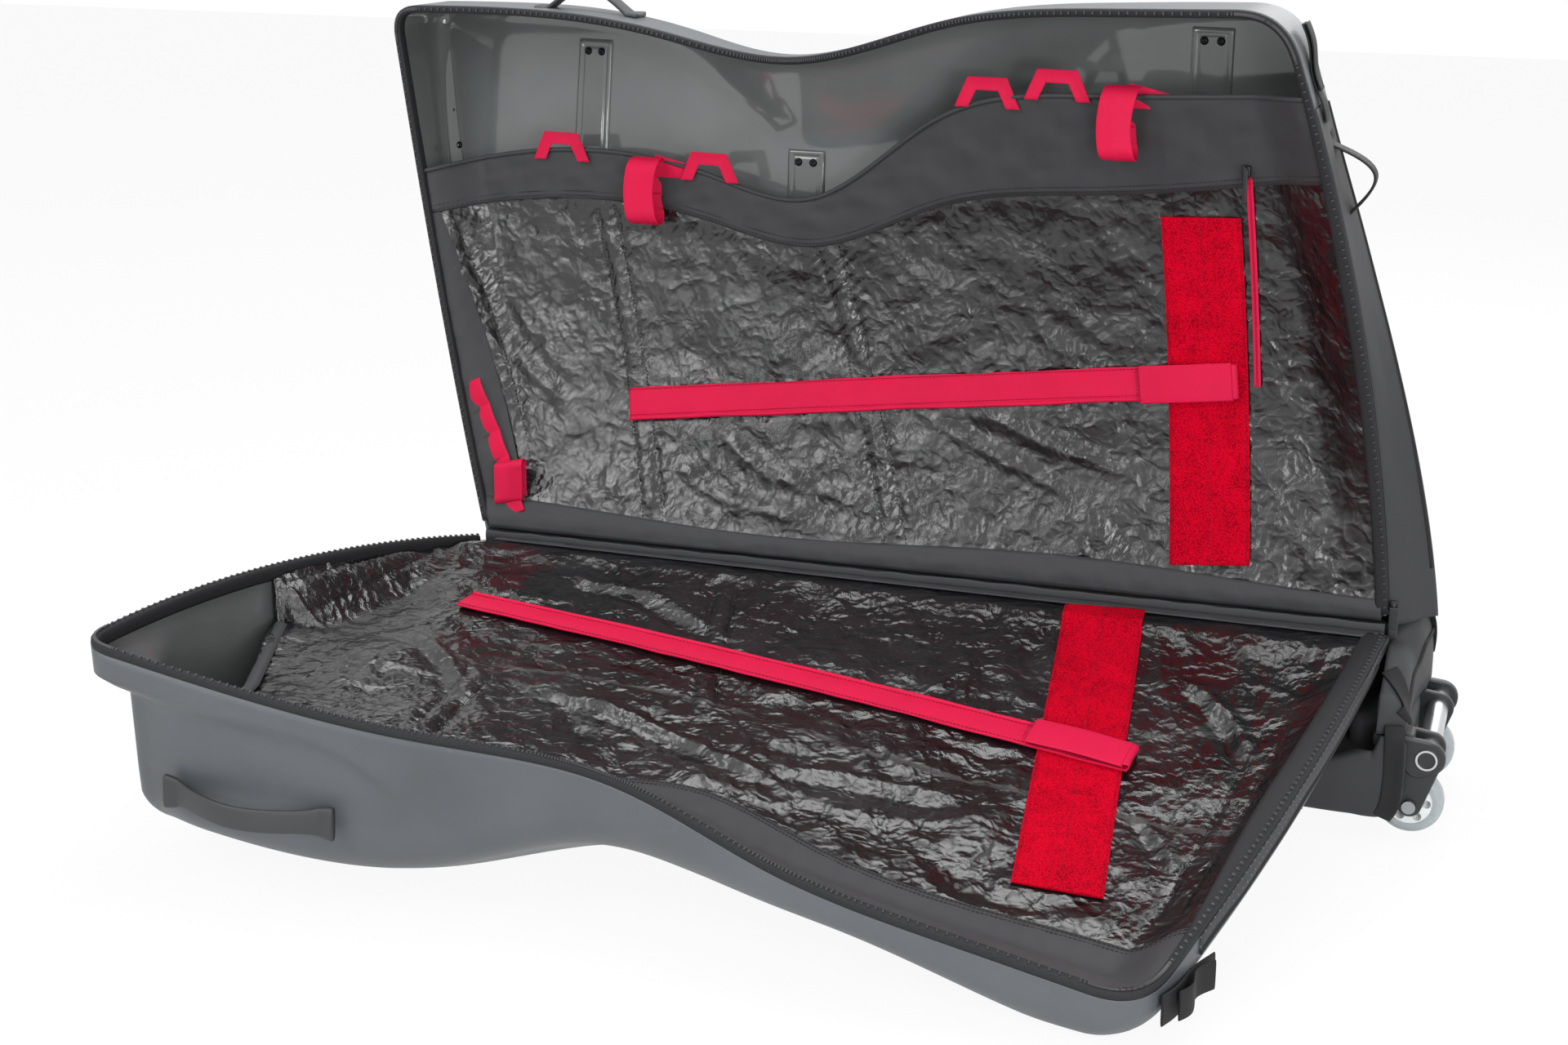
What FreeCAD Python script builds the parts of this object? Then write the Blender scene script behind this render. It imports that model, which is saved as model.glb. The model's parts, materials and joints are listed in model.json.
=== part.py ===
import FreeCAD, Part
import Sketcher
import math
import os

# Bike travel case, open: the back half stands, the front half lies on the floor.
# Frame: +X along the hinge towards the wheels, +Y to the back, +Z up, floor at zero,
# origin on the floor under the middle of the hinge. Millimetres and degrees.
# Both halves are built closed, in one local frame: X along the hinge, Z from the hinge to the
# top of the case, Y = 0 at the hinge, the back half on the +Y side and the front half on the -Y side.

Vector = FreeCAD.Vector
BACK = 1
FRONT = -1

doc = FreeCAD.newDocument("BikeTravelCase")
sheet = doc.addObject("Spreadsheet::Sheet", "Sizes")

SIZES = (
    ("hinge_length", 1040, "hinge side of both halves"),
    ("hinge_height", 191, "hinge above the floor"),
    ("back_lean", 2, "backward lean of the standing half"),
    ("open_angle", 94.25, "angle between closed and open front half"),
    ("left_corner_out", 146, "reach of the top left corner past the hinge"),
    ("left_corner_rise", 598, "top left corner above the hinge"),
    ("right_corner_in", 135, "top right corner short of the hinge end"),
    ("right_corner_rise", 636, "top right corner above the hinge"),
    ("left_bow", 16, "outward bow of the left end"),
    ("right_bow", 20, "outward bow of the wheel end"),
    ("left_corner_radius", 28, "rounding of the top left corner"),
    ("right_corner_radius", 55, "rounding of the top right corner"),
    ("shoulder_along", 40, "shoulder, from the hinge's left end"),
    ("shoulder_rise", 601, "shoulder above the hinge"),
    ("slope_along", 200, "slope to the waist, from the hinge's left end"),
    ("slope_rise", 587, "slope to the waist, above the hinge"),
    ("waist_along", 372, "waist, from the hinge's left end"),
    ("waist_rise", 564, "waist above the hinge"),
    ("hip_along", 560, "hip, from the hinge's left end"),
    ("hip_rise", 613, "hip above the hinge"),
    ("crest_along", 730, "crest, from the hinge's left end"),
    ("crest_rise", 630, "crest above the hinge"),
    ("rim_left_shift", 84, "rim set back at the top left corner"),
    ("rim_right_shift", 106, "rim set forward at the top right corner"),
    ("rim_bulge", 27, "rim set back half way up"),
    ("base_reach", 90, "outer face from the hinge plane, at the hinge"),
    ("back_left_reach", 210, "back face from the hinge plane, top left"),
    ("back_right_reach", 56, "back face from the hinge plane, top right"),
    ("front_left_reach", 165, "front face from the hinge plane, top left"),
    ("front_right_reach", 168, "front face from the hinge plane, top right"),
    ("flank_slope", 0.5, "outer face's slope inwards from the foot of the top wall"),
    ("shell_wall", 3, "wall of shells and side panels"),
    ("shell_end_rise", 540, "shell gives way to fabric below this, wheel end"),
    ("rim_band_depth", 18, "zip band, from the rim inwards"),
    ("rim_band_width", 6, "zip band thickness"),
    ("zip_inset", 2.5, "zip chain from the outer edge"),
    ("zip_width", 3, "zip chain width"),
    ("zip_height", 1.7, "zip chain height on the band"),
    ("tape_end_in", 4, "hinge tapes, short of the hinge end"),
    ("zip_start", 12, "zip begins this far above the hinge"),
    ("lay_gap", 0.3, "gap between pieces that lie on each other"),
    ("liner_sag", 60, "deepest place of a liner below the rim"),
    ("liner_sag_rise", 400, "deepest place above the hinge"),
    ("liner_cloth", 3, "liner thickness"),
    ("liner_hem", 20, "liner's lower edge above the hinge"),
    ("border_cloth", 1, "sewn border thickness"),
    ("webbing", 2.5, "webbing thickness"),
    ("strap_width", 38, "long straps"),
    ("pile_width", 86, "pile panels"),
    ("tub_end_in", 5, "base tub's left end, short of the hinge end"),
    ("tub_nose_length", 38, "base tub past the hinge end, wheel end"),
    ("tub_half_width", 100, "half the width of the base tub"),
    ("tub_bottom", 20, "underside of the base tub"),
    ("tub_wall", 3, "base tub wall"),
    ("tub_front_top", 78, "top of the tub under the front half"),
    ("tub_nose_top", 150, "top of the tub beside the front half"),
    ("board_thickness", 6, "base board"),
    ("board_room", 1, "base board's room in the tub"),
    ("runner_wall", 4, "base runner wall"),
    ("runner_length", 900, "base runner length"),
    ("runner_width", 120, "base runner width"),
    ("wheel_diameter", 68, "wheel over the tyre"),
    ("wheel_width", 24, "tyre width"),
    ("wheel_track", 150, "between the wheels' middles"),
    ("wheel_out", 40, "wheel axle past the hinge end"),
    ("hub_diameter", 46, "hub under the tyre"),
    ("hub_width", 22, "hub width"),
    ("spoke_wall", 1.5, "hub web around its openings"),
    ("bearing_outer", 22, "bearing outside diameter"),
    ("bearing_width", 7, "bearing width"),
    ("axle_diameter", 8, "axle bolt"),
    ("axle_head", 14, "axle bolt head diameter"),
    ("axle_head_height", 4, "axle bolt head height"),
    ("running_gap", 0.05, "radial running gap"),
    ("cheek", 8, "wheel bracket cheek"),
    ("wheel_room", 3, "bracket's room around the wheel"),
    ("grip_diameter", 22, "grip tube outside diameter"),
    ("grip_wall", 2, "grip tube wall"),
    ("grip_out", 54, "grip tube past the hinge end"),
    ("grip_rise", 19, "grip tube's middle above the wheels"),
    ("bracket_roof", 12, "bracket above the grip tube"),
    ("grip_over", 2, "grip tube past each bracket"),
    ("screw_diameter", 9, "rib screw and rivet heads"),
    ("screw_height", 2.5, "rib screw and rivet head height"),
    ("pull_length", 34, "zip pull tabs"),
    ("pull_width", 10, "zip pull width"),
)
for row, (alias, value, note) in enumerate(SIZES, 1):
    sheet.set("A%d" % row, note)
    sheet.set("B%d" % row, str(value))
    sheet.setAlias("B%d" % row, alias)
doc.recompute()

nodes = []


def size(alias):
    return float(sheet.get(alias))


def bind(obj, **expressions):
    for prop, text in expressions.items():
        obj.setExpression(prop, text)


def keep(obj, label):
    obj.Label = label
    nodes.append(obj)
    return obj


def add_shape(label, shape, placement=None):
    obj = doc.addObject("Part::Feature", label)
    obj.Shape = shape
    if placement:
        obj.Placement = placement.multiply(shape.Placement)
    return keep(obj, label)


# Placements of the two halves

HINGE_X = Vector(1, 0, 0)
half_length = size("hinge_length") / 2
hinge_at = Vector(0, 0, size("hinge_height"))
back_place = FreeCAD.Placement(hinge_at, FreeCAD.Rotation(HINGE_X, -size("back_lean")))
front_place = FreeCAD.Placement(hinge_at, FreeCAD.Rotation(HINGE_X, size("open_angle") - size("back_lean")))
PLACES = {BACK: back_place, FRONT: front_place}
gap = size("lay_gap")

# Outline of the halves

FAR = 2 * half_length
LOW_Z = -100.0
HIGH_Z = size("right_corner_rise") + 100.0
left_corner = Vector(-half_length - size("left_corner_out"), 0, size("left_corner_rise"))
right_corner = Vector(half_length - size("right_corner_in"), 0, size("right_corner_rise"))
middle = Vector((left_corner.x + half_length) / 2, 0, size("left_corner_rise") / 2)
half_span = half_length - middle.x


def drawn_in(point, inset):
    """Point moved towards the middle, so that the whole outline comes in by inset."""
    away = point - middle
    return middle + Vector(away.x * (1 - inset / half_span), 0, away.z * (1 - inset / middle.z))


def top_point(name):
    return Vector(size(name + "_along") - half_length, 0, size(name + "_rise"))


def bowed_edge(start, end, bow):
    """Arc from start to end, whose middle stands out by bow to the left of the way."""
    way = end - start
    left = Vector(-way.z, 0, way.x).normalize()
    return Part.Arc(start, (start + end) / 2 + left * bow, end).toShape()


def smooth_edge(points):
    curve = Part.BSplineCurve()
    curve.interpolate(points)
    return curve.toShape()


def outline_wire(inset):
    left_foot = drawn_in(Vector(-half_length, 0, 0), inset)
    right_foot = drawn_in(Vector(half_length, 0, 0), inset)
    between_corners = [top_point(name) for name in ("shoulder", "slope", "waist", "hip", "crest")]
    top = [drawn_in(point, inset) for point in [left_corner] + between_corners + [right_corner]]
    edges = [
        bowed_edge(left_foot, top[0], size("left_bow")),
        smooth_edge(top),
        bowed_edge(right_foot, top[-1], -size("right_bow")),
        Part.LineSegment(right_foot, left_foot).toShape(),
    ]
    return Part.Wire(Part.__sortEdges__(edges))


def across(face):
    """Prism of a face in the XZ plane, right through both halves."""
    return face.translated(Vector(0, -FAR / 2, 0)).extrude(Vector(0, FAR, 0))


def corner_edges(prism, corner):
    def distance(edge):
        place = edge.CenterOfMass
        return math.hypot(place.x - corner.x, place.z - corner.z)
    along_y = [edge for edge in prism.Edges if abs(edge.tangentAt(edge.FirstParameter).y) > 0.99]
    return [min(along_y, key=distance)]


def half_prism(inset):
    """Outline prism with rounded top corners, set in from the outside by inset."""
    prism = across(Part.Face(outline_wire(inset)))
    for corner, radius in ((left_corner, "left_corner_radius"), (right_corner, "right_corner_radius")):
        edges = corner_edges(prism, drawn_in(corner, inset))
        prism = prism.makeFillet(size(radius) - inset, edges)
    return prism


def block(x_low, x_high, y_low, y_high, z_low, z_high):
    corner = Vector(x_low, y_low, z_low)
    return Part.makeBox(x_high - x_low, y_high - y_low, z_high - z_low, corner)


def polygon_prism(points):
    corners = [Vector(x, 0, z) for x, z in points]
    return across(Part.Face(Part.makePolygon(corners + corners[:1])))


# Surfaces: each is straight along X and a parabola along Z

def between(x, low, high):
    """Value at x on the line from low at the left corner to high at the right corner."""
    share = (x - left_corner.x) / (right_corner.x - left_corner.x)
    return low + (high - low) * share


def rim(x, z):
    """Parting surface: twisted from the left end to the wheel end, with a bulge half way up."""
    left = size("rim_left_shift") / size("left_corner_rise")
    right = -size("rim_right_shift") / size("right_corner_rise")
    share = z / size("left_corner_rise")
    return z * between(x, left, right) + 4 * size("rim_bulge") * share * (1 - share)


def outer(half, x, z):
    """Outer face of a half, flat along the hinge and fanning out to the two top corners."""
    side = "back" if half == BACK else "front"
    base = size("base_reach")
    left = (size(side + "_left_reach") - base) / size("left_corner_rise")
    right = (size(side + "_right_reach") - base) / size("right_corner_rise")
    return half * (base + z * between(x, left, right))


def liner(half, x, z):
    """Front face of a liner, which hangs from the rim and sags into the half."""
    share = z / size("liner_sag_rise")
    return rim(x, z) + half * size("liner_sag") * share * (2 - share)


def beyond(surface, side):
    """Solid on one side of a surface y = surface(x, z)."""
    patch = Part.BezierSurface()
    patch.increase(1, 2)
    mid_z = (LOW_Z + HIGH_Z) / 2
    for row, x in enumerate((-FAR, FAR), 1):
        low = surface(x, LOW_Z)
        high = surface(x, HIGH_Z)
        crown = 2 * surface(x, mid_z) - (low + high) / 2
        for column, (z, y) in enumerate(((LOW_Z, low), (mid_z, crown), (HIGH_Z, high)), 1):
            patch.setPole(row, column, Vector(x, y, z))
    return patch.toShape().extrude(Vector(0, side * FAR, 0))


def layer(prism, half, near, far):
    """The part of a prism between two surfaces, near towards the rim and far from it."""
    return prism.common(beyond(near, half)).common(beyond(far, -half))


def below_rim(half, depth):
    return lambda x, z: rim(x, z) + half * depth


def inside_outer(half, depth):
    return lambda x, z: outer(half, x, z) - half * depth


def on_liner(half, height):
    return lambda x, z: liner(half, x, z) - half * height


# Flanks: below the foot of the outer walls, the outer face slopes inwards.
# Feet of the top wall: way from the left corner, stretched to the right corner, and depth below the rim.

FLANK_OVER = 60
FRONT_FEET = ((0, 170), (246, 162), (366, 134), (486, 86), (606, 61), (786, 37), (966, 55), (1051, 50))
BACK_FEET = ((0, 126), (266, 126), (386, 98), (501, 74), (626, 80), (766, 115), (958, 165), (1051, 170))
FRONT_END_FEET = ((620, 40), (350, 53), (40, 34))


def top_rise(x):
    """Height of the outline's top line at x, straight between its named points."""
    names = ("shoulder", "slope", "waist", "hip", "crest")
    points = [left_corner] + [top_point(name) for name in names] + [right_corner]
    for low, high in zip(points, points[1:]):
        if x <= high.x:
            break
    share = (x - low.x) / (high.x - low.x)
    return low.z + (high.z - low.z) * share


def right_edge(z):
    """Place of the bowed wheel end at height z."""
    share = z / right_corner.z
    return half_length + (right_corner.x - half_length) * share + 4 * size("right_bow") * share * (1 - share)


def flank(half, feet, slope_way):
    """Solid outside of a smooth line of feet that is carried along slope_way, past the outline."""
    first = feet[0] + (feet[0] - feet[1]).normalize() * FLANK_OVER
    last = feet[-1] + (feet[-1] - feet[-2]).normalize() * FLANK_OVER
    line = smooth_edge([first] + feet + [last])
    face = line.translated(slope_way * -FLANK_OVER).extrude(slope_way * FAR)
    return face.extrude(Vector(0, half * FAR, 0))


def flanks(half):
    """The flank below the top wall, and in the front half the one at the wheel end."""
    slope = half * size("flank_slope")
    stations = BACK_FEET if half == BACK else FRONT_FEET
    stretch = (right_corner.x - left_corner.x) / stations[-1][0]
    feet = []
    for along, depth in stations:
        x = left_corner.x + along * stretch
        rise = top_rise(x)
        feet.append(Vector(x, rim(x, rise) + half * depth, rise))
    solids = [flank(half, feet, Vector(0, slope, -1))]
    if half == FRONT:
        ends = [Vector(right_edge(z), rim(right_edge(z), z) + half * depth, z) for z, depth in FRONT_END_FEET]
        solids.append(flank(half, ends, Vector(-1, slope, 0)))
    return solids


def without_flanks(shape, half, inset):
    """Shape cut back to the flanks, which are moved in by inset for the inside of a wall."""
    for solid in flanks(half):
        shape = shape.cut(solid.translated(Vector(0, -half * inset, 0)))
    return shape


# Shells, side panels, rim bands and zip chains

wall = size("shell_wall")
outline_prism = half_prism(0)
inner_prism = half_prism(wall)
wall_ring = outline_prism.cut(inner_prism)


def fabric_zone(slack):
    """Space of the fabric walls: the wheel end below the shell, and the hinge side."""
    end = block(half_length / 2, FAR, -FAR, FAR, -wall, size("shell_end_rise") + slack)
    hinge_side = block(-FAR, FAR, -FAR, FAR, -wall, wall + slack)
    return end.fuse(hinge_side)


def make_shell(label, half):
    top = below_rim(half, size("rim_band_depth") + gap)
    blank = layer(outline_prism, half, top, inside_outer(half, 0))
    hollow = layer(inner_prism, half, below_rim(half, 0), inside_outer(half, wall))
    tray = without_flanks(blank, half, 0).cut(without_flanks(hollow, half, wall))
    add_shape(label, tray.cut(wall_ring.common(fabric_zone(gap))), PLACES[half])


def make_side_panel(label, half):
    top = below_rim(half, size("rim_band_depth") + gap)
    panel = layer(wall_ring.common(fabric_zone(0)), half, top, inside_outer(half, 0))
    add_shape(label, without_flanks(panel, half, 0), PLACES[half])


def make_hinge_tape(label, half):
    """Fabric strip from the hinge line to the side panel, on the hinge side of one half."""
    end = half_length - size("tape_end_in")
    strip = block(-end, end, -FAR, FAR, 0, wall)
    tape = layer(strip, half, lambda x, z: half * 2 * gap, below_rim(half, size("rim_band_depth")))
    add_shape(label, tape, PLACES[half])


def rim_ring(inset, width):
    ring = half_prism(inset).cut(half_prism(inset + width))
    return ring.common(block(-FAR, FAR, -FAR, FAR, size("zip_start"), HIGH_Z))


chain_top = gap
chain_foot = gap + size("zip_height")
band_ring = rim_ring(0, size("rim_band_width"))
chain_ring = rim_ring(size("zip_inset"), size("zip_width"))


def make_rim(half, side):
    band = layer(band_ring, half, below_rim(half, chain_foot + gap), below_rim(half, size("rim_band_depth")))
    add_shape(side + "_zip_band", band, PLACES[half])
    chain = layer(chain_ring, half, below_rim(half, chain_top), below_rim(half, chain_foot))
    add_shape(side + "_zip_chain", chain, PLACES[half])


for half, side in ((BACK, "back"), (FRONT, "front")):
    make_shell(side + "_shell", half)
    make_side_panel(side + "_side_panel", half)
    make_hinge_tape(side + "_hinge_tape", half)
    make_rim(half, side)

# Liners and their sewn borders

liner_prism = half_prism(size("rim_band_width") + gap)
EDGE_OVER = 40
BACK_TOP = (
    Vector(left_corner.x - EDGE_OVER, 0, 385),
    Vector(-510, 0, 432),
    Vector(-270, 0, 420),
    Vector(-140, 0, 404),
    Vector(0, 0, 497),
    Vector(170, 0, 535),
    Vector(half_length + EDGE_OVER, 0, 560),
)
BORDER_DROPS = (45, 55, 52, 55, 95, 106, 70)
FRONT_RIGHT = half_length + EDGE_OVER
FRONT_LINER = (
    (-480, 0),
    (-640, 210),
    (-545, 500),
    (-300, 545),
    (60, 540),
    (half_length - EDGE_OVER, 590),
    (FRONT_RIGHT, 0),
)
FRONT_BORDER = (
    (-260, 560),
    (-86, 470),
    (56, 510),
    (314, 528),
    (FRONT_RIGHT, 545),
    (FRONT_RIGHT, HIGH_Z),
    (-260, HIGH_Z),
)


def under_curve(points):
    """Prism below a smooth line through points, down past the hinge."""
    top = smooth_edge(list(points))
    right_low = Vector(points[-1].x, 0, LOW_Z)
    left_low = Vector(points[0].x, 0, LOW_Z)
    rest = Part.makePolygon([points[-1], right_low, left_low, points[0]])
    return across(Part.Face(Part.Wire([top] + rest.Edges)))


def above(height):
    return block(-FAR, FAR, -FAR, FAR, height, HIGH_Z)


def liner_layer(prism, half, height, thickness):
    """Piece of cloth that lies on a liner, its underside at height."""
    return layer(prism, half, on_liner(half, height + thickness), on_liner(half, height))


cloth = size("liner_cloth")
border = size("border_cloth")
hem = size("liner_hem")
webbing = size("webbing")
back_field = liner_prism.common(under_curve(BACK_TOP)).common(above(hem))
lowered = [point - Vector(0, 0, drop) for point, drop in zip(BACK_TOP, BORDER_DROPS)]
add_shape("back_liner", liner_layer(back_field, BACK, -cloth, cloth), back_place)
back_edge = back_field.cut(under_curve(lowered))
add_shape("back_liner_border", liner_layer(back_edge, BACK, gap, border), back_place)
front_field = liner_prism.common(polygon_prism(FRONT_LINER)).common(above(hem))
front_cloth = liner_layer(front_field, FRONT, -cloth, cloth)
add_shape("front_liner", without_flanks(front_cloth, FRONT, wall + gap), front_place)
front_edge = front_field.common(polygon_prism(FRONT_BORDER))
front_trim = liner_layer(front_edge, FRONT, gap, border)
add_shape("front_liner_border", without_flanks(front_trim, FRONT, wall + gap), front_place)

# Straps, pile panels and loops on the liners

wheel_corner_x = size("hinge_length") / 2 - size("right_corner_in")
BACK_STRAP = ((-358, 155), (wheel_corner_x - 43, 243))
FRONT_STRAP = ((-447, 200), (wheel_corner_x - 82, 272))
KEEPER_LENGTH = 104
BACK_PILE = ((wheel_corner_x - 89, 415), (wheel_corner_x - 57, 45))
FRONT_PILE = ((wheel_corner_x - 161, 22), (wheel_corner_x - 110, 478))
POCKET_ZIP = ((wheel_corner_x - 41, 486), (wheel_corner_x - 21, 238))
POCKET_TAPE = 8
DAISY_CHAIN = ((-556, 168), (-482, 24))
DAISY_WIDTH = 24


def band_prism(start, end, width):
    """Prism of a straight band of cloth from start to end."""
    way = Vector(end[0] - start[0], 0, end[1] - start[1]).normalize()
    side = Vector(-way.z, 0, way.x) * (width / 2)
    a = Vector(start[0], 0, start[1])
    b = Vector(end[0], 0, end[1])
    corners = [a + side, b + side, b - side, a - side]
    return polygon_prism([(corner.x, corner.z) for corner in corners])


def end_stretch(start, end, length):
    """Last stretch of the line from start to end."""
    way = Vector(end[0] - start[0], 0, end[1] - start[1]).normalize()
    return (end[0] - way.x * length, end[1] - way.z * length), end


def lay_band(label, half, line, width, height, thickness):
    band = liner_layer(band_prism(*line, width), half, height, thickness)
    add_shape(label, band, PLACES[half])


strap = size("strap_width")
pile = size("pile_width")
on_cloth = gap
on_pile = 2 * gap + webbing
on_strap = on_pile + gap + webbing
lay_band("back_pile_panel", BACK, BACK_PILE, pile, on_cloth, webbing)
lay_band("front_pile_panel", FRONT, FRONT_PILE, pile, on_cloth, webbing)
lay_band("back_long_strap", BACK, BACK_STRAP, strap, on_pile, webbing)
lay_band("front_long_strap", FRONT, FRONT_STRAP, strap, on_pile, webbing)
lay_band("back_strap_end", BACK, end_stretch(*BACK_STRAP, KEEPER_LENGTH), strap, on_strap, webbing)
lay_band("front_strap_end", FRONT, end_stretch(*FRONT_STRAP, KEEPER_LENGTH), strap, on_strap, webbing)
lay_band("pocket_zip_tape", BACK, POCKET_ZIP, POCKET_TAPE, on_cloth + border + gap, border)
lay_band("daisy_chain", BACK, DAISY_CHAIN, DAISY_WIDTH, on_cloth, webbing)

LOOP_WIDTH = 36
LOOP_DEPTH = 30
LOOP_HEIGHT = 76
LOOP_OVER = 14
HANGING_LOOPS = (("hanging_loop_left", -344, 438), ("hanging_loop_right", 215, 549))


def nearest(half, x_low, x_high, z_low, z_high):
    """The place of a liner that stands nearest to the rim's open side within a field."""
    corners = [liner(half, x, z) for x in (x_low, x_high) for z in (z_low, z_high)]
    return min(corners) if half == BACK else max(corners)


def rounded_along_x(solid, radius):
    edges = [edge for edge in solid.Edges if abs(edge.tangentAt(edge.FirstParameter).x) > 0.99]
    return solid.makeFillet(radius, edges) if radius > 0 else solid


def closed_loop(width, depth, height, radius):
    """Band of webbing bent to a flat ring, open along X, its back face at Y = 0."""
    outside = block(-width / 2, width / 2, -depth, 0, -height, 0)
    inside = block(-width, width, webbing - depth, -webbing, webbing - height, -webbing)
    return rounded_along_x(outside, radius).cut(rounded_along_x(inside, radius - webbing))


def loop_seat(x, top, height, over, lift):
    """Top middle of a loop's back face, which clears the cloth by lift and stands over its edge."""
    face = nearest(BACK, x - LOOP_WIDTH / 2, x + LOOP_WIDTH / 2, top - height, top - over)
    return Vector(x, face - lift, top)


for label, x, top in HANGING_LOOPS:
    loop = closed_loop(LOOP_WIDTH, LOOP_DEPTH, LOOP_HEIGHT, LOOP_DEPTH / 3)
    seat = loop_seat(x, top, LOOP_HEIGHT, LOOP_OVER, 3 * gap + border)
    add_shape(label, loop.translated(seat), back_place)

DAISY_LOOP = (-492, 84)
DAISY_LOOP_HEIGHT = 48
DAISY_LOOP_DEPTH = 11
daisy_seat = loop_seat(*DAISY_LOOP, DAISY_LOOP_HEIGHT, 0, webbing)
daisy_ring = closed_loop(LOOP_WIDTH, DAISY_LOOP_DEPTH, DAISY_LOOP_HEIGHT, webbing)
add_shape("daisy_loop", daisy_ring.translated(daisy_seat), back_place)

SMALL_LOOPS = ((-461, 428), (-270, 418), (65, 518), (143, 531))
LOOP_FOOT = 58
LOOP_CROWN = 38
LOOP_RISE = 28
LOOP_LEG = 12


def trapezoid(x, low, high, foot, crown):
    corners = ((-foot / 2, low), (foot / 2, low), (crown / 2, high), (-crown / 2, high))
    return polygon_prism([(x + side, z) for side, z in corners])


def small_loop(x, z):
    """Trapezoid loop that stands up from the border, its legs sewn to it."""
    outside = trapezoid(x, z - LOOP_LEG, z + LOOP_RISE, LOOP_FOOT, LOOP_CROWN)
    hole = trapezoid(x, z, z + LOOP_RISE - LOOP_LEG, LOOP_CROWN, LOOP_CROWN / 2)
    return liner_layer(outside.cut(hole), BACK, 2 * gap + border, webbing)


add_shape("small_loops", Part.makeCompound([small_loop(x, z) for x, z in SMALL_LOOPS]), back_place)

# Riveted ribs on the inside of the back shell, their screws, and bare rivets

RIBS = (
    ("back_rib_left", -440, 415, 562),
    ("back_rib_middle", -165, 380, 452),
    ("back_rib_right", wheel_corner_x - 93, 500, 606),
)
RIB_WIDTH = 46
RIB_THICKNESS = 3
SCREW_MARGIN = 14


def stud(half, x, z, foot):
    """Round head that stands square on a surface, just clear of it, to the open side of the half."""
    along = foot(x + 1, z) - foot(x, z)
    up = foot(x, z + 1) - foot(x, z)
    square = Vector(half * along, -half, half * up).normalize()
    start = Vector(x, foot(x, z), z) + square * gap
    return Part.makeCylinder(size("screw_diameter") / 2, size("screw_height"), start, square)


rib_seat = inside_outer(BACK, wall + gap)
rib_face = inside_outer(BACK, wall + gap + RIB_THICKNESS)
screw_off = RIB_WIDTH / 2 - SCREW_MARGIN
screws = []
for label, x, low, high in RIBS:
    strip = block(x - RIB_WIDTH / 2, x + RIB_WIDTH / 2, -FAR, FAR, low, high)
    add_shape(label, layer(strip, BACK, rib_face, rib_seat), back_place)
    screws.append(stud(BACK, x - screw_off, high - SCREW_MARGIN, rib_face))
    screws.append(stud(BACK, x + screw_off, high - SCREW_MARGIN, rib_face))
    screws.append(stud(BACK, x + screw_off, low + SCREW_MARGIN, rib_face))
add_shape("back_rib_screws", Part.makeCompound(screws), back_place)

BACK_RIVETS = ((left_corner.x + 34, 470), (left_corner.x + 46, 430))
FRONT_RIVETS = ((left_corner.x + 38, 440), (left_corner.x + 51, 400))
for label, half, places in (("back_rivets", BACK, BACK_RIVETS), ("front_rivets", FRONT, FRONT_RIVETS)):
    heads = [stud(half, x, z, inside_outer(half, wall)) for x, z in places]
    add_shape(label, Part.makeCompound(heads), PLACES[half])

# Handles and straps on the outside

FOOT = 22
HANDLE_WIDTH = 26
COARSE_STEP = 25.0
SEAT_ROUNDS = 4


def arch(span, rise, thickness, width):
    """Strap handle: two flat feet along X joined by an arc that stands up along Z."""
    reach = span / 2
    end = reach + FOOT
    points = [(-reach, thickness), (-end, thickness), (-end, 0), (thickness - reach, 0)]
    left = [Vector(x, 0, z) for x, z in points]
    right = [Vector(-point.x, 0, point.z) for point in reversed(left)]
    over = Part.Arc(left[0], Vector(0, 0, rise + thickness), right[-1]).toShape()
    under = Part.Arc(left[-1], Vector(0, 0, rise), right[0]).toShape()
    feet = Part.makePolygon(left).Edges + Part.makePolygon(right).Edges
    wire = Part.Wire(Part.__sortEdges__([over, under] + feet))
    return Part.Face(wire).translated(Vector(0, -width / 2, 0)).extrude(Vector(0, width, 0))


def turned(shape, angle, place):
    """Shape turned about Y, then moved."""
    copy = shape.copy()
    copy.Placement = FreeCAD.Placement(place, FreeCAD.Rotation(Vector(0, 1, 0), angle))
    return copy


def seated(shape, step):
    """Shape moved out along step from inside the case, then back until only the gap is left."""
    way = 0.0
    while shape.translated(step * way).common(outline_prism).Solids:
        way += COARSE_STEP
    for _ in range(SEAT_ROUNDS):
        way -= shape.translated(step * way).distToShape(outline_prism)[0] - gap
    return shape.translated(step * way)


UPWARD = Vector(0, 0, 1)
OUTWARD = Vector(1, 0, 0)
BACK_HANDLE = Vector(-420, 100, 560)
back_handle = turned(arch(88, 22, 4, HANDLE_WIDTH), 3, BACK_HANDLE)
add_shape("back_handle", seated(back_handle, UPWARD), back_place)
FRONT_HANDLE = Vector(-491, -72, 560)
front_handle = turned(arch(150, 20, 5, HANDLE_WIDTH), -1, FRONT_HANDLE)
add_shape("front_handle", seated(front_handle, UPWARD), front_place)
GRAB_LOOP = Vector(360, 0, 460)
grab_loop = turned(arch(76, 30, 4, HANDLE_WIDTH), 75, GRAB_LOOP)
add_shape("side_grab_loop", seated(grab_loop, OUTWARD), back_place)

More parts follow.
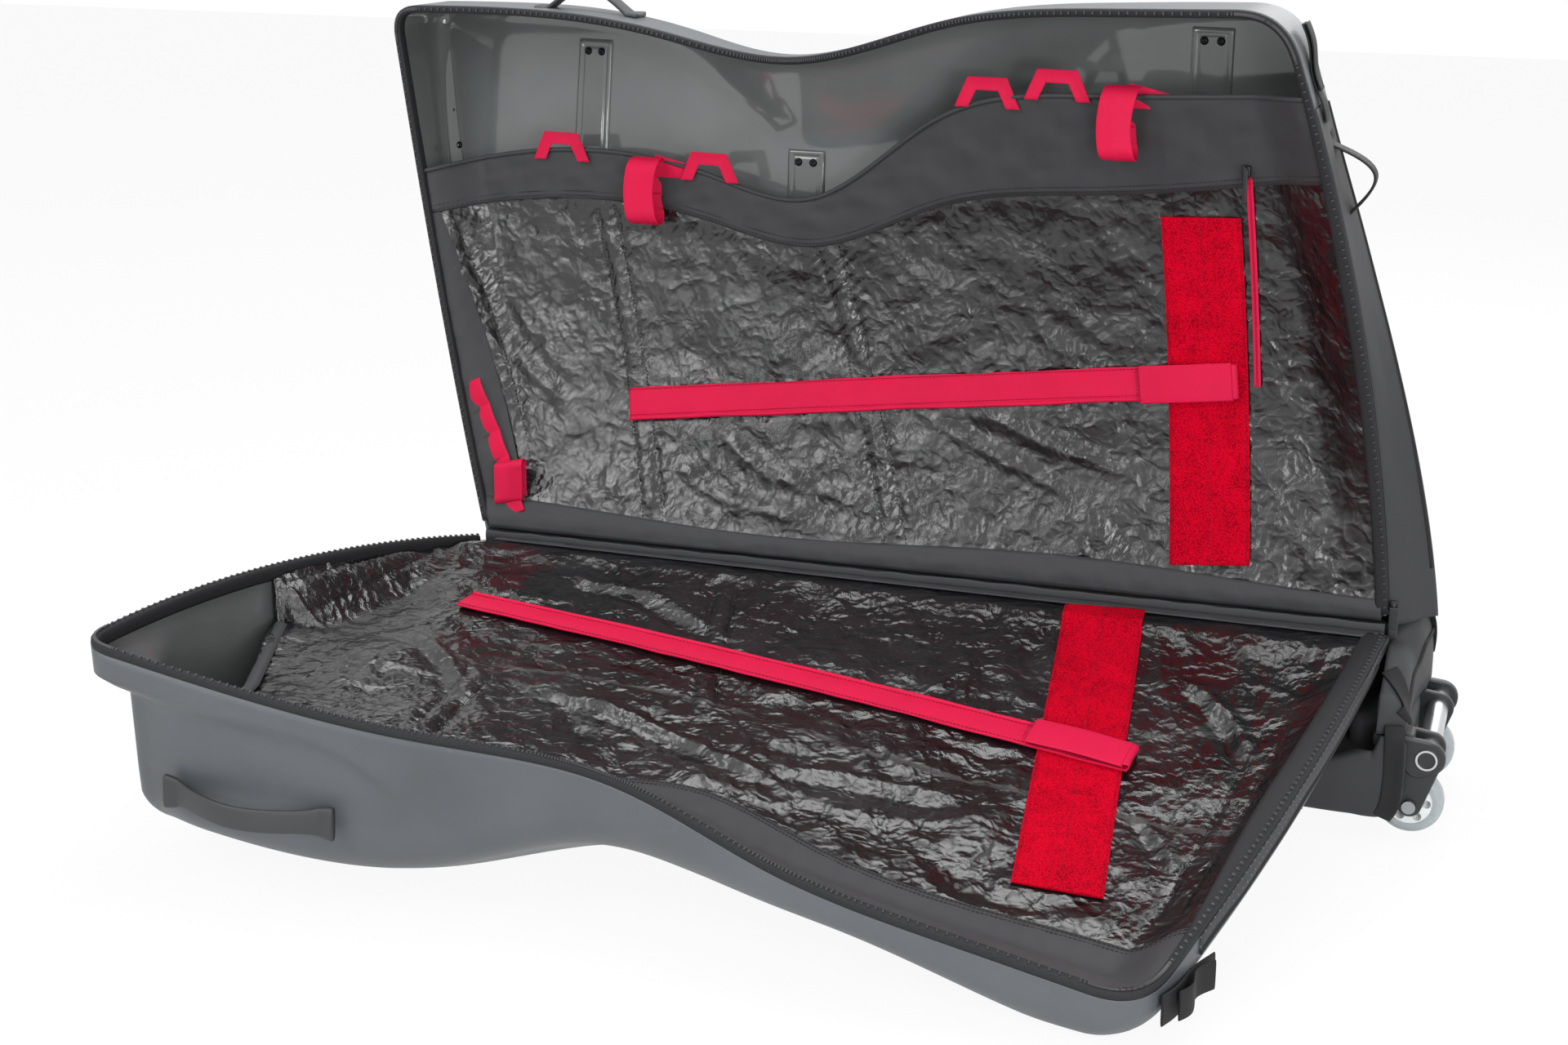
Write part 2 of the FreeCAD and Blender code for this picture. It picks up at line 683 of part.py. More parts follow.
CLOSING_LENGTH = 96
CLOSING_THICKNESS = 6
CLOSING_HALF_WIDTH = 15
CLOSING_LEAN = -17
closing = block(
    0, CLOSING_THICKNESS,
    -CLOSING_HALF_WIDTH, CLOSING_HALF_WIDTH,
    -CLOSING_LENGTH / 2, CLOSING_LENGTH / 2,
)
BACK_CLOSING = Vector(wheel_corner_x - 55, -35, 572)
FRONT_CLOSING = Vector(wheel_corner_x - 55, -132, 566)
for label, place, half in (
    ("back_closing_strap", BACK_CLOSING, BACK),
    ("front_closing_strap", FRONT_CLOSING, FRONT),
):
    add_shape(label, seated(turned(closing, CLOSING_LEAN, place), OUTWARD), PLACES[half])

# Base: tub, board and runner


def add_box(name, **expressions):
    box = doc.addObject("Part::Box", name)
    bind(box, **expressions)
    return box


def boolean(kind, name, base, tool):
    obj = doc.addObject("Part::" + kind, name)
    obj.Base = base
    obj.Tool = tool
    return obj


TUB_BACK_FRONT = 12
TUB_TOP_SLACK = 3.7
WELL_LENGTH = 40
bracket_half = size("wheel_width") / 2 + size("wheel_room") / 2 + size("cheek")
grip_z = size("wheel_diameter") + size("grip_rise")
bracket_top = grip_z + size("grip_diameter") / 2 + size("bracket_roof")
well_left = half_length + size("tub_nose_length") - WELL_LENGTH
well_inside = size("wheel_track") / 2 - bracket_half - gap


def tub_block(inset):
    """Base tub's outer form, set in on all sides: low in front of the hinge, high behind it."""
    left = size("tub_end_in") - half_length + inset
    right = half_length + size("tub_nose_length") - inset
    side = size("tub_half_width") - inset
    bottom = size("tub_bottom") + inset
    top = size("hinge_height") - TUB_TOP_SLACK - inset
    nose = half_length + gap + inset
    form = block(left, right, -side, side, bottom, size("tub_front_top") - inset)
    form = form.fuse(block(left, right, TUB_BACK_FRONT + inset, side, bottom, top))
    form = form.fuse(block(nose, right, -side, side, bottom, size("tub_nose_top") - inset))
    for way in (-1, 1):
        low, high = sorted((way * (well_inside - inset), way * FAR))
        form = form.cut(block(well_left - inset, FAR, low, high, 0, bracket_top + gap + inset))
    return form.removeSplitter()


add_shape("base_tub", tub_block(0).cut(tub_block(size("tub_wall"))))
board = add_box(
    "base_board",
    Length="Sizes.hinge_length - Sizes.tub_end_in + Sizes.tub_nose_length - %g"
    " - 2 * (Sizes.tub_wall + Sizes.board_room)" % WELL_LENGTH,
    Width="2 * (Sizes.tub_half_width - Sizes.tub_wall - Sizes.board_room)",
    Height="Sizes.board_thickness",
)
bind(board, **{
    "Placement.Base.x": "Sizes.tub_end_in + Sizes.tub_wall + Sizes.board_room - Sizes.hinge_length / 2",
    "Placement.Base.y": "Sizes.tub_wall + Sizes.board_room - Sizes.tub_half_width",
    "Placement.Base.z": "Sizes.tub_bottom + Sizes.tub_wall",
})
keep(board, "base_board")
runner_block = add_box(
    "runner_block",
    Length="Sizes.runner_length",
    Width="Sizes.runner_width",
    Height="Sizes.tub_bottom",
)
bind(runner_block, **{
    "Placement.Base.x": "-Sizes.runner_length / 2",
    "Placement.Base.y": "-Sizes.runner_width / 2",
})
runner_hollow = add_box(
    "runner_hollow",
    Length="Sizes.runner_length - 2 * Sizes.runner_wall",
    Width="Sizes.runner_width - 2 * Sizes.runner_wall",
    Height="Sizes.tub_bottom",
)
bind(runner_hollow, **{
    "Placement.Base.x": "-Sizes.runner_length / 2 + Sizes.runner_wall",
    "Placement.Base.y": "-Sizes.runner_width / 2 + Sizes.runner_wall",
    "Placement.Base.z": "Sizes.runner_wall",
})
keep(boolean("Cut", "base_runner", runner_block, runner_hollow), "base_runner")

# Wheels, bearings, axle bolts, brackets and grip tube

ALONG_Y = FreeCAD.Rotation(Vector(1, 0, 0), -90)
WHEEL_SIDES = (("near", -1), ("far", 1))
SPOKE_COUNT = 6
WHEEL_X = "Sizes.hinge_length / 2 + Sizes.wheel_out"
WHEEL_Z = "Sizes.wheel_diameter / 2"
wheel_x = half_length + size("wheel_out")
wheel_z = size("wheel_diameter") / 2


def cylinder(name, radius, height, x, y, z):
    """Round bar along Y, from y to y plus its height."""
    obj = doc.addObject("Part::Cylinder", name)
    obj.Placement = FreeCAD.Placement(Vector(0, 0, 0), ALONG_Y)
    bind(obj, Radius=radius, Height=height)
    bind(obj, **{"Placement.Base.x": x, "Placement.Base.y": y, "Placement.Base.z": z})
    return obj


def make_ring(label, outer_radius, inner_radius, width, x, y, z):
    body = cylinder(label + "_body", outer_radius, width, x, y, z)
    bore = cylinder(label + "_bore", inner_radius, width, x, y, z)
    return keep(boolean("Cut", label, body, bore), label)


def origin_plane(body, role):
    return next(item for item in body.Origin.OriginFeatures if item.Role == role)


def make_hub(label, y):
    """Hub with two bearing seats and a ring of round openings between six spokes."""
    body = doc.addObject("PartDesign::Body", label)
    disc = body.newObject("Sketcher::SketchObject", label + "_disc")
    disc.AttachmentSupport = [(origin_plane(body, "XY_Plane"), "")]
    disc.MapMode = "FlatFace"
    up = Vector(0, 0, 1)
    for alias, allowance in (("hub_diameter", ""), ("bearing_outer", " + 2 * Sizes.running_gap")):
        circle = disc.addGeometry(Part.Circle(Vector(0, 0, 0), up, size(alias) / 2), False)
        disc.addConstraint(Sketcher.Constraint("Coincident", circle, 3, -1, 1))
        row = disc.addConstraint(Sketcher.Constraint("Diameter", circle, size(alias)))
        disc.setExpression("Constraints[%d]" % row, "Sizes." + alias + allowance)
    pad = body.newObject("PartDesign::Pad", label + "_pad")
    pad.Profile = disc
    pad.Midplane = True
    bind(pad, Length="Sizes.hub_width")
    holes = body.newObject("Sketcher::SketchObject", label + "_hole")
    holes.AttachmentSupport = [(origin_plane(body, "XY_Plane"), "")]
    holes.MapMode = "FlatFace"
    web = (size("hub_diameter") - size("bearing_outer")) / 2
    hole = web - 2 * size("spoke_wall")
    reach = (size("bearing_outer") + web) / 2
    circle = holes.addGeometry(Part.Circle(Vector(reach, 0, 0), up, hole / 2), False)
    width_row = holes.addConstraint(Sketcher.Constraint("Diameter", circle, hole))
    reach_row = holes.addConstraint(Sketcher.Constraint("DistanceX", -1, 1, circle, 3, reach))
    holes.addConstraint(Sketcher.Constraint("PointOnObject", circle, 3, -1))
    width_text = "(Sizes.hub_diameter - Sizes.bearing_outer) / 2 - 2 * Sizes.spoke_wall"
    holes.setExpression("Constraints[%d]" % width_row, width_text)
    holes.setExpression("Constraints[%d]" % reach_row, "(Sizes.hub_diameter + Sizes.bearing_outer) / 4")
    doc.recompute()
    pocket = body.newObject("PartDesign::Pocket", label + "_pocket")
    pocket.Profile = holes
    pocket.Type = 1
    pocket.Midplane = True
    doc.recompute()
    pattern = body.newObject("PartDesign::PolarPattern", label + "_spokes")
    pattern.Originals = [pocket]
    pattern.Axis = (disc, ["N_Axis"])
    pattern.Angle = 360
    pattern.Occurrences = SPOKE_COUNT
    body.Tip = pattern
    body.Placement = FreeCAD.Placement(Vector(0, 0, 0), ALONG_Y)
    bind(body, **{
        "Placement.Base.x": WHEEL_X,
        "Placement.Base.y": y,
        "Placement.Base.z": WHEEL_Z,
    })
    return keep(body, label)


def make_bearings(label, y):
    """The two ball bearings of one wheel, each as a closed ring."""
    rings = []
    bore_radius = "Sizes.axle_diameter / 2 + Sizes.running_gap"
    for name, side in (("inner", -1), ("outer", 1)):
        shift = y + " + %d * (Sizes.hub_width - Sizes.bearing_width) / 2 - Sizes.bearing_width / 2" % side
        place = (WHEEL_X, shift, WHEEL_Z)
        body = cylinder(label + name, "Sizes.bearing_outer / 2", "Sizes.bearing_width", *place)
        bore = cylinder(label + name + "_bore", bore_radius, "Sizes.bearing_width", *place)
        rings.append(boolean("Cut", label + name + "_ring", body, bore))
    pair = doc.addObject("Part::Compound", label)
    pair.Links = rings
    return keep(pair, label)


def is_rim_edge(edge, radius):
    return hasattr(edge.Curve, "Radius") and abs(edge.Curve.Radius - radius) < 1e-6


def make_tyre(label, y):
    """Tyre with rounded shoulders on the hub."""
    place = (WHEEL_X, y + " - Sizes.wheel_width / 2", WHEEL_Z)
    body = cylinder(label + "_body", "Sizes.wheel_diameter / 2", "Sizes.wheel_width", *place)
    bore_radius = "Sizes.hub_diameter / 2 + Sizes.running_gap"
    bore = cylinder(label + "_bore", bore_radius, "Sizes.wheel_width", *place)
    ring = boolean("Cut", label + "_ring", body, bore)
    doc.recompute()
    rounded = doc.addObject("Part::Fillet", label)
    rounded.Base = ring
    rim_edges = [i for i, edge in enumerate(ring.Shape.Edges, 1) if is_rim_edge(edge, wheel_z)]
    radius = size("wheel_width") / 3
    rounded.Edges = [(i, radius, radius) for i in rim_edges]
    return keep(rounded, label)


def bar(radius, y, length, x, z):
    return Part.makeCylinder(radius, length, Vector(x, y, z), Vector(0, 1, 0))


def make_bracket(label, y):
    """Moulded fork: two cheeks and a web over the wheel, with bores for axle and grip tube."""
    left = well_left + gap
    grip_x = half_length + size("grip_out")
    nose = grip_x + size("grip_diameter")
    low = wheel_z - size("axle_head")
    points = [
        (left, bracket_top),
        (left, 2 * wheel_z),
        (wheel_x - size("axle_head"), low),
        (wheel_x + size("axle_head"), low),
        (nose, grip_z - size("grip_diameter") / 2),
        (nose, bracket_top),
    ]
    start = y - bracket_half
    length = 2 * bracket_half
    corners = [Vector(x, start, z) for x, z in points]
    fork = Part.Face(Part.makePolygon(corners + corners[:1])).extrude(Vector(0, length, 0))
    slot_half = bracket_half - size("cheek")
    room = wheel_z + size("wheel_room")
    slot = bar(room, y - slot_half, 2 * slot_half, wheel_x, wheel_z)
    under = block(wheel_x - room, wheel_x + room, y - slot_half, y + slot_half, 0, wheel_z)
    axle_bore = bar(size("axle_diameter") / 2 + size("running_gap"), start, length, wheel_x, wheel_z)
    grip_bore = bar(size("grip_diameter") / 2 + size("running_gap"), start, length, grip_x, grip_z)
    return add_shape(label, fork.cut(slot).cut(under).cut(axle_bore).cut(grip_bore))


def make_axle(label, y, side):
    """Axle bolt through both cheeks, its head on the outside."""
    shank = bar(size("axle_diameter") / 2, y - bracket_half, 2 * bracket_half, wheel_x, wheel_z)
    head_y = y - bracket_half - size("axle_head_height") if side < 0 else y + bracket_half
    head = bar(size("axle_head") / 2, head_y, size("axle_head_height"), wheel_x, wheel_z)
    return add_shape(label, shank.fuse(head).removeSplitter())


for name, side in WHEEL_SIDES:
    y_text = "%d * Sizes.wheel_track / 2" % side
    y_value = side * size("wheel_track") / 2
    make_tyre("wheel_tyre_" + name, y_text)
    make_hub("wheel_hub_" + name, y_text)
    make_bearings("wheel_bearings_" + name, y_text)
    make_bracket("wheel_bracket_" + name, y_value)
    make_axle("axle_bolt_" + name, y_value, side)

GRIP_LENGTH = (
    "(Sizes.wheel_track + Sizes.wheel_width + Sizes.wheel_room"
    " + 2 * Sizes.cheek + 2 * Sizes.grip_over)"
)
make_ring(
    "grip_tube",
    "Sizes.grip_diameter / 2",
    "Sizes.grip_diameter / 2 - Sizes.grip_wall",
    GRIP_LENGTH,
    "Sizes.hinge_length / 2 + Sizes.grip_out",
    "-" + GRIP_LENGTH + " / 2",
    "Sizes.wheel_diameter + Sizes.grip_rise",
)

# Zip sliders and their pulls

SLIDER_LENGTH = 12
SLIDER_WIDTH = 9
SLIDER_DEPTH = 7
PULL_THICKNESS = 2
MAIN_SLIDER_RISE = 16


def hanging_tab(width):
    return block(-width / 2, width / 2, -PULL_THICKNESS, 0, -size("pull_length"), 0)


slider = block(-SLIDER_WIDTH / 2, SLIDER_WIDTH / 2, -SLIDER_DEPTH, 0, -SLIDER_LENGTH, 0)
slider_x, zip_top = POCKET_ZIP[0]
slider_z = zip_top - SLIDER_LENGTH
slider_sides = (slider_x - SLIDER_WIDTH / 2, slider_x + SLIDER_WIDTH / 2)
tape_face = nearest(BACK, *slider_sides, slider_z - SLIDER_LENGTH, slider_z) - 2 * (gap + border)
slider_at = Vector(slider_x, tape_face - gap, slider_z)
add_shape("pocket_zip_slider", slider.translated(slider_at), back_place)
pocket_pull_at = slider_at - Vector(0, SLIDER_DEPTH + gap, SLIDER_LENGTH / 3)
add_shape("pocket_zip_pull", hanging_tab(size("pull_width") / 2).translated(pocket_pull_at), back_place)

main_y = SLIDER_DEPTH + size("zip_height")
main_at = Vector(half_length - SLIDER_WIDTH, main_y, MAIN_SLIDER_RISE + SLIDER_LENGTH)
main_slider = seated(slider.translated(main_at), OUTWARD)
add_shape("main_zip_slider", main_slider, back_place)
main_box = main_slider.BoundBox
main_pull_x = main_box.XMin + gap + size("pull_width") / 2
main_pull_at = Vector(main_pull_x, main_box.YMin - gap, main_box.Center.z)
add_shape("main_zip_pull", hanging_tab(size("pull_width")).translated(main_pull_at), back_place)

# Every object is sound before anything is written

doc.recompute()
for obj in doc.Objects:
    if "Invalid" in obj.State or "Error" in obj.State:
        raise RuntimeError("failed: " + obj.Name)
for node in nodes:
    if node.Shape.isNull() or not node.Shape.isValid() or not node.Shape.Solids:
        raise RuntimeError("bad shape: " + node.Label)
os.makedirs("parts", exist_ok=True)
for node in nodes:
    node.Shape.exportStep("parts/%s.step" % node.Label)
print(len(nodes), "nodes")
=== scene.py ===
"""Bike travel case, open: fabric, webbing, moulded shells and finishes around the packed frame."""

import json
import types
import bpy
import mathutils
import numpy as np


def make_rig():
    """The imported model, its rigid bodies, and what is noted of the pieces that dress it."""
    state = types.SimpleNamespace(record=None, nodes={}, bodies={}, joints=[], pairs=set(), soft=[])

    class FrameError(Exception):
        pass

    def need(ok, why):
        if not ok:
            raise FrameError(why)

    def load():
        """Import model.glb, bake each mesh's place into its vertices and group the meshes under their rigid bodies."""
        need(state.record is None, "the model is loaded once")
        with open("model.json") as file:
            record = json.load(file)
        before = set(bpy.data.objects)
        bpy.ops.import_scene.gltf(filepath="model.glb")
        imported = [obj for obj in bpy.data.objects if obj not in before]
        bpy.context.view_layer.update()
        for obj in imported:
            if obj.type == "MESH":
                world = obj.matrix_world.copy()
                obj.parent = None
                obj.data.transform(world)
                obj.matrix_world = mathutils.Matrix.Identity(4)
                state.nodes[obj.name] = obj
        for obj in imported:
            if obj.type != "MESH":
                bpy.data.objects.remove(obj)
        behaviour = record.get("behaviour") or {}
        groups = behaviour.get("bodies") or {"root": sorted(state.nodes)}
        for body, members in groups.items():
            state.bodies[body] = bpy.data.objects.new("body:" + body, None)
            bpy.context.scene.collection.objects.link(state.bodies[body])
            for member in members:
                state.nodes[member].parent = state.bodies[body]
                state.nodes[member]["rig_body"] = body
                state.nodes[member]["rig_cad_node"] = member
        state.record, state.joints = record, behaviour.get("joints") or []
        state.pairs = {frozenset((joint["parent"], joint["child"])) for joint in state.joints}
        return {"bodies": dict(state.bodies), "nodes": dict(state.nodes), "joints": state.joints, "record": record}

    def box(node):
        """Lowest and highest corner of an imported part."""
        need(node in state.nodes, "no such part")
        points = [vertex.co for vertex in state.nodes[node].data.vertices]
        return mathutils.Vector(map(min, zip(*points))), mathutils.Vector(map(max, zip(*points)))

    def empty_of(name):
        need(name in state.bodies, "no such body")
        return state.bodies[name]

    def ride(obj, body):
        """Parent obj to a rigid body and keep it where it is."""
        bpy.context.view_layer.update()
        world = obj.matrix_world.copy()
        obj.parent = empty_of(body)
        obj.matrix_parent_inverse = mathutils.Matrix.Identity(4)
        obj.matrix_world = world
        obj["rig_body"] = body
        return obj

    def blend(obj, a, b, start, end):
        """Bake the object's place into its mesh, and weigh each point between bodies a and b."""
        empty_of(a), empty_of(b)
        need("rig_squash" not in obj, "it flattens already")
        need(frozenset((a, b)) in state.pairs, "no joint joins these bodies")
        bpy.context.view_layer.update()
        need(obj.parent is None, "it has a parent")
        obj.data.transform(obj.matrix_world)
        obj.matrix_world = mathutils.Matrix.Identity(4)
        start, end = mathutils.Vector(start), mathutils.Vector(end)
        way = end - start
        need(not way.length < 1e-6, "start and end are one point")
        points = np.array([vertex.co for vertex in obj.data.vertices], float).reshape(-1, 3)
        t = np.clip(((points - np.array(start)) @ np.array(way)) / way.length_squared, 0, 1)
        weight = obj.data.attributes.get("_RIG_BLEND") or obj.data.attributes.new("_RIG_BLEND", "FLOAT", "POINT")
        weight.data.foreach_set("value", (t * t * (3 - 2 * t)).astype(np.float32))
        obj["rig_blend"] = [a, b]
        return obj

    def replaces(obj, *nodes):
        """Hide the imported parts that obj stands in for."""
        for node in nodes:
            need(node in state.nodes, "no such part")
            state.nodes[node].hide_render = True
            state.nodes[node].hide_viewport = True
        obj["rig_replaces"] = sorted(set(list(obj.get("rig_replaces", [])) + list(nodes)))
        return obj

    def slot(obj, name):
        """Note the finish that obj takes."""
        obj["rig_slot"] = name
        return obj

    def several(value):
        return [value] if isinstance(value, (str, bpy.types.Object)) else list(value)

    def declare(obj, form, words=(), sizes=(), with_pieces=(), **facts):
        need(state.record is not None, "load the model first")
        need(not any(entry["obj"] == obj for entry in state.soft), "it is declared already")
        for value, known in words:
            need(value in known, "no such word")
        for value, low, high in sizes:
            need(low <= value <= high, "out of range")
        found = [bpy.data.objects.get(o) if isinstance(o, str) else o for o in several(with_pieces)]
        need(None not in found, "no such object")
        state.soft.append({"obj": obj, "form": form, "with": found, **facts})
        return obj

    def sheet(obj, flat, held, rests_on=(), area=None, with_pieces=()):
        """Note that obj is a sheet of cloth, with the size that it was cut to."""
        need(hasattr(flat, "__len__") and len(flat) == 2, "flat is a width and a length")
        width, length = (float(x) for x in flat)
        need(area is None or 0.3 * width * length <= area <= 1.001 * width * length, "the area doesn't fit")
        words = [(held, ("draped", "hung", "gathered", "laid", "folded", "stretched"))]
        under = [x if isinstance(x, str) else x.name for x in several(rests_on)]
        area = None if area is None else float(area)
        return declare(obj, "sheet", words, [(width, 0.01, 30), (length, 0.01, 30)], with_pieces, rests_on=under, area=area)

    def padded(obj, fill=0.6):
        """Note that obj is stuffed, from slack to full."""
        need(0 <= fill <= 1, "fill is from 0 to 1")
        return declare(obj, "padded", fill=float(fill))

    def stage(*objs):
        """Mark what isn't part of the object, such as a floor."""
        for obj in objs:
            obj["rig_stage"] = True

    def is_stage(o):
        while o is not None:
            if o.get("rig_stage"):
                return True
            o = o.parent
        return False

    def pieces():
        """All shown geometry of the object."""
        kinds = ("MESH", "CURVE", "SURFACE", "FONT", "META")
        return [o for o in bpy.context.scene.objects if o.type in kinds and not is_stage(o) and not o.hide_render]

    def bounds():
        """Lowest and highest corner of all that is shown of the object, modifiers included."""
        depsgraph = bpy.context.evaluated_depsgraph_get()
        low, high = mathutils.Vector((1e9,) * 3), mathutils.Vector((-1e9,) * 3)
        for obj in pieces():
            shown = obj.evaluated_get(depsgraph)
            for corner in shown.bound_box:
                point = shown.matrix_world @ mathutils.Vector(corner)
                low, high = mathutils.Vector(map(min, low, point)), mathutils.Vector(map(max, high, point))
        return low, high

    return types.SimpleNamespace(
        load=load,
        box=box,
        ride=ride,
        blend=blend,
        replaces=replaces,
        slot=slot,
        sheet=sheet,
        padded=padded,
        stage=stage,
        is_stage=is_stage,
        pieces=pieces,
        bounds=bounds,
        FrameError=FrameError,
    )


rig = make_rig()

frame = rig.load()

import json
import math

import bmesh
import bpy
import numpy as np
from mathutils import Vector

bl_info = {
    "name": "Bike travel case",
    "version": (1, 0, 0),
    "blender": (4, 5, 0),
    "location": "View3D > Sidebar > Travel case",
    "description": "Builds the visual pieces of an open bike travel case",
    "category": "Object",
}

CAD_BOX = [list(corner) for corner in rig.bounds()]
BACK = 1
FRONT = -1
SIDES = {BACK: "back", FRONT: "front"}
BODIES = {BACK: "back_half", FRONT: "front_half"}

# Sizes of the closed case, in metres: X along the hinge, Z from the hinge to the top, Y to the back

HALF_LENGTH = 0.520
HINGE_HEIGHT = 0.191
LEANS = {BACK: -2.0, FRONT: 92.25}
LEFT_CORNER = (-0.666, 0.598)
RIGHT_CORNER = (0.385, 0.636)
TOP_POINTS = ((-0.480, 0.601), (-0.320, 0.587), (-0.148, 0.564), (0.040, 0.613), (0.210, 0.630))
LEFT_BOW = 0.016
RIGHT_BOW = 0.020
CORNER_CUTS = (0.036, 0.048)
RIM_SHIFTS = (0.084, -0.106)
RIM_BULGE = 0.027
BASE_REACH = 0.090
REACHES = {BACK: (0.210, 0.056), FRONT: (0.165, 0.168)}
FLANK_SLOPE = 0.5
TOP_FEET = {
    BACK: ((-0.666, 0.126), (-0.400, 0.126), (-0.280, 0.098), (-0.165, 0.074), (-0.040, 0.080),
           (0.100, 0.115), (0.292, 0.165), (0.385, 0.170)),
    FRONT: ((-0.666, 0.170), (-0.420, 0.162), (-0.300, 0.134), (-0.180, 0.086), (-0.060, 0.061),
            (0.120, 0.037), (0.300, 0.055), (0.385, 0.050)),
}
END_FEET = ((0.040, 0.034), (0.350, 0.053), (0.620, 0.040))
SHELL_END_RISE = 0.540
BAND_START = 0.012
LINER_SAG = 0.060
LINER_SAG_RISE = 0.400
LINER_EDGE = 0.007
ALONG = 176
UP = 96


def cubic(stations):
    """Natural cubic spline through rows (t, value, ...), as a function of t."""
    rows = np.array(stations, float)
    knots, values = rows[:, 0], rows[:, 1:]
    step = np.diff(knots)
    slope = np.diff(values, axis=0) / step[:, None]
    system = np.eye(len(knots))
    pull = np.zeros_like(values)
    for i in range(1, len(knots) - 1):
        system[i, i - 1:i + 2] = step[i - 1], 2 * (step[i - 1] + step[i]), step[i]
        pull[i] = 6 * (slope[i] - slope[i - 1])
    bend = np.linalg.solve(system, pull)

    def at(t):
        t = np.clip(np.asarray(t, float), knots[0], knots[-1])
        i = np.clip(np.searchsorted(knots, t) - 1, 0, len(knots) - 2)
        h = step[i][..., None]
        a = (knots[i + 1] - t)[..., None] / h
        b = 1 - a
        value = a * values[i] + b * values[i + 1]
        value = value + ((a ** 3 - a) * bend[i] + (b ** 3 - b) * bend[i + 1]) * h ** 2 / 6
        return value[..., 0] if values.shape[1] == 1 else value
    return at


def smoothstep(low, high, value):
    """Zero below low, one above high, and an S curve between them."""
    t = np.clip((value - low) / (high - low), 0, 1)
    return t * t * (3 - 2 * t)


def bell(value, width):
    """One at nought, falling off within about a width on both sides."""
    return np.exp(-(value / width) ** 2)


def quarter_round(t):
    """Quarter circle: one up to t = 0, nought from t = 1."""
    return np.sqrt(1 - np.clip(t, 0, 1) ** 2)


def lengths(points):
    """Way along a row of points, from zero."""
    return np.concatenate([[0], np.cumsum(np.linalg.norm(np.diff(points, axis=0), axis=1))])


def resampled(points, count):
    """The same line with count points at even steps."""
    way = lengths(points)
    even = np.linspace(0, way[-1], count)
    return np.stack([np.interp(even, way, points[:, k]) for k in range(points.shape[1])], axis=1)


def bowed(start, end, bow, count=120):
    """Line from start to end whose middle stands out by bow, to the left of the way."""
    start, end = np.array(start, float), np.array(end, float)
    way = end - start
    left = np.array([-way[1], way[0]]) / np.linalg.norm(way)
    t = np.linspace(0, 1, count)[:, None]
    return start + way * t + left * 4 * bow * t * (1 - t)


def rounded(first, second, cut):
    """Two lines that meet, each shortened by cut, and the parabola that joins them, split at its middle."""
    a, b = lengths(first), lengths(second)
    p0 = np.array([np.interp(a[-1] - cut, a, first[:, k]) for k in (0, 1)])
    p2 = np.array([np.interp(cut, b, second[:, k]) for k in (0, 1)])
    t = np.linspace(0, 1, 21)[:, None]
    arc = p0 * (1 - t) ** 2 + 2 * first[-1] * t * (1 - t) + p2 * t ** 2
    return np.vstack([first[a < a[-1] - cut], arc[:11]]), np.vstack([arc[10:], second[b > cut]])


def outline_sides():
    """Left edge, top, wheel end and hinge side of the case as evenly spaced (x, z) rows."""
    top = np.array([LEFT_CORNER, *TOP_POINTS, RIGHT_CORNER])
    knots = lengths(top)
    top = cubic(np.column_stack([knots, top]))(np.linspace(0, knots[-1], 400))
    left = bowed((-HALF_LENGTH, 0), LEFT_CORNER, LEFT_BOW)
    right = bowed(RIGHT_CORNER, (HALF_LENGTH, 0), RIGHT_BOW)
    left, top = rounded(left, top, CORNER_CUTS[0])
    top, right = rounded(top, right, CORNER_CUTS[1])
    hinge = np.array([(HALF_LENGTH, 0.0), (-HALF_LENGTH, 0.0)])
    return [resampled(line, count) for line, count in ((left, UP), (top, ALONG), (right, UP), (hinge, ALONG))]


SIDE_LINES = outline_sides()
LOOP = np.vstack([line[:-1] for line in SIDE_LINES])


def inward_normals(loop):
    """Unit vectors square to a closed clockwise line, to its inside."""
    along = np.roll(loop, -1, axis=0) - np.roll(loop, 1, axis=0)
    across = np.column_stack([along[:, 1], -along[:, 0]])
    return across / np.linalg.norm(across, axis=1)[:, None]


def spread(normals, sigma):
    """Unit vectors averaged with their neighbours round the loop, by a bell curve."""
    reach = np.arange(-4 * sigma, 4 * sigma + 1)
    weight = np.exp(-0.5 * (reach / sigma) ** 2)
    total = sum(w * np.roll(normals, k, axis=0) for k, w in zip(reach, weight))
    return total / np.linalg.norm(total, axis=1)[:, None]


INWARD = inward_normals(LOOP)
DRAWN_IN = spread(INWARD, 10)


def left_wall(z):
    """X of the left edge at a height."""
    return np.interp(z, SIDE_LINES[0][:, 1], SIDE_LINES[0][:, 0])


def right_wall(z):
    """X of the wheel end at a height."""
    return np.interp(z, SIDE_LINES[2][::-1, 1], SIDE_LINES[2][::-1, 0])


def top_wall(x):
    """Z of the top edge along the case."""
    return np.interp(x, SIDE_LINES[1][:, 0], SIDE_LINES[1][:, 1])


def between(x, low, high):
    """Value at x on the line from low at the left corner to high at the right corner."""
    return low + (high - low) * (x - LEFT_CORNER[0]) / (RIGHT_CORNER[0] - LEFT_CORNER[0])


def rim(x, z):
    """Parting surface: twisted from the left end to the wheel end, with a bulge half way up."""
    share = z / LEFT_CORNER[1]
    turn = between(x, RIM_SHIFTS[0] / LEFT_CORNER[1], RIM_SHIFTS[1] / RIGHT_CORNER[1])
    return z * turn + 4 * RIM_BULGE * share * (1 - share)


def soft_min(a, b, blend):
    """The smaller of two values, with a rounded change from one to the other."""
    t = np.clip(0.5 + 0.5 * (b - a) / blend, 0, 1)
    return b + (a - b) * t - blend * t * (1 - t)


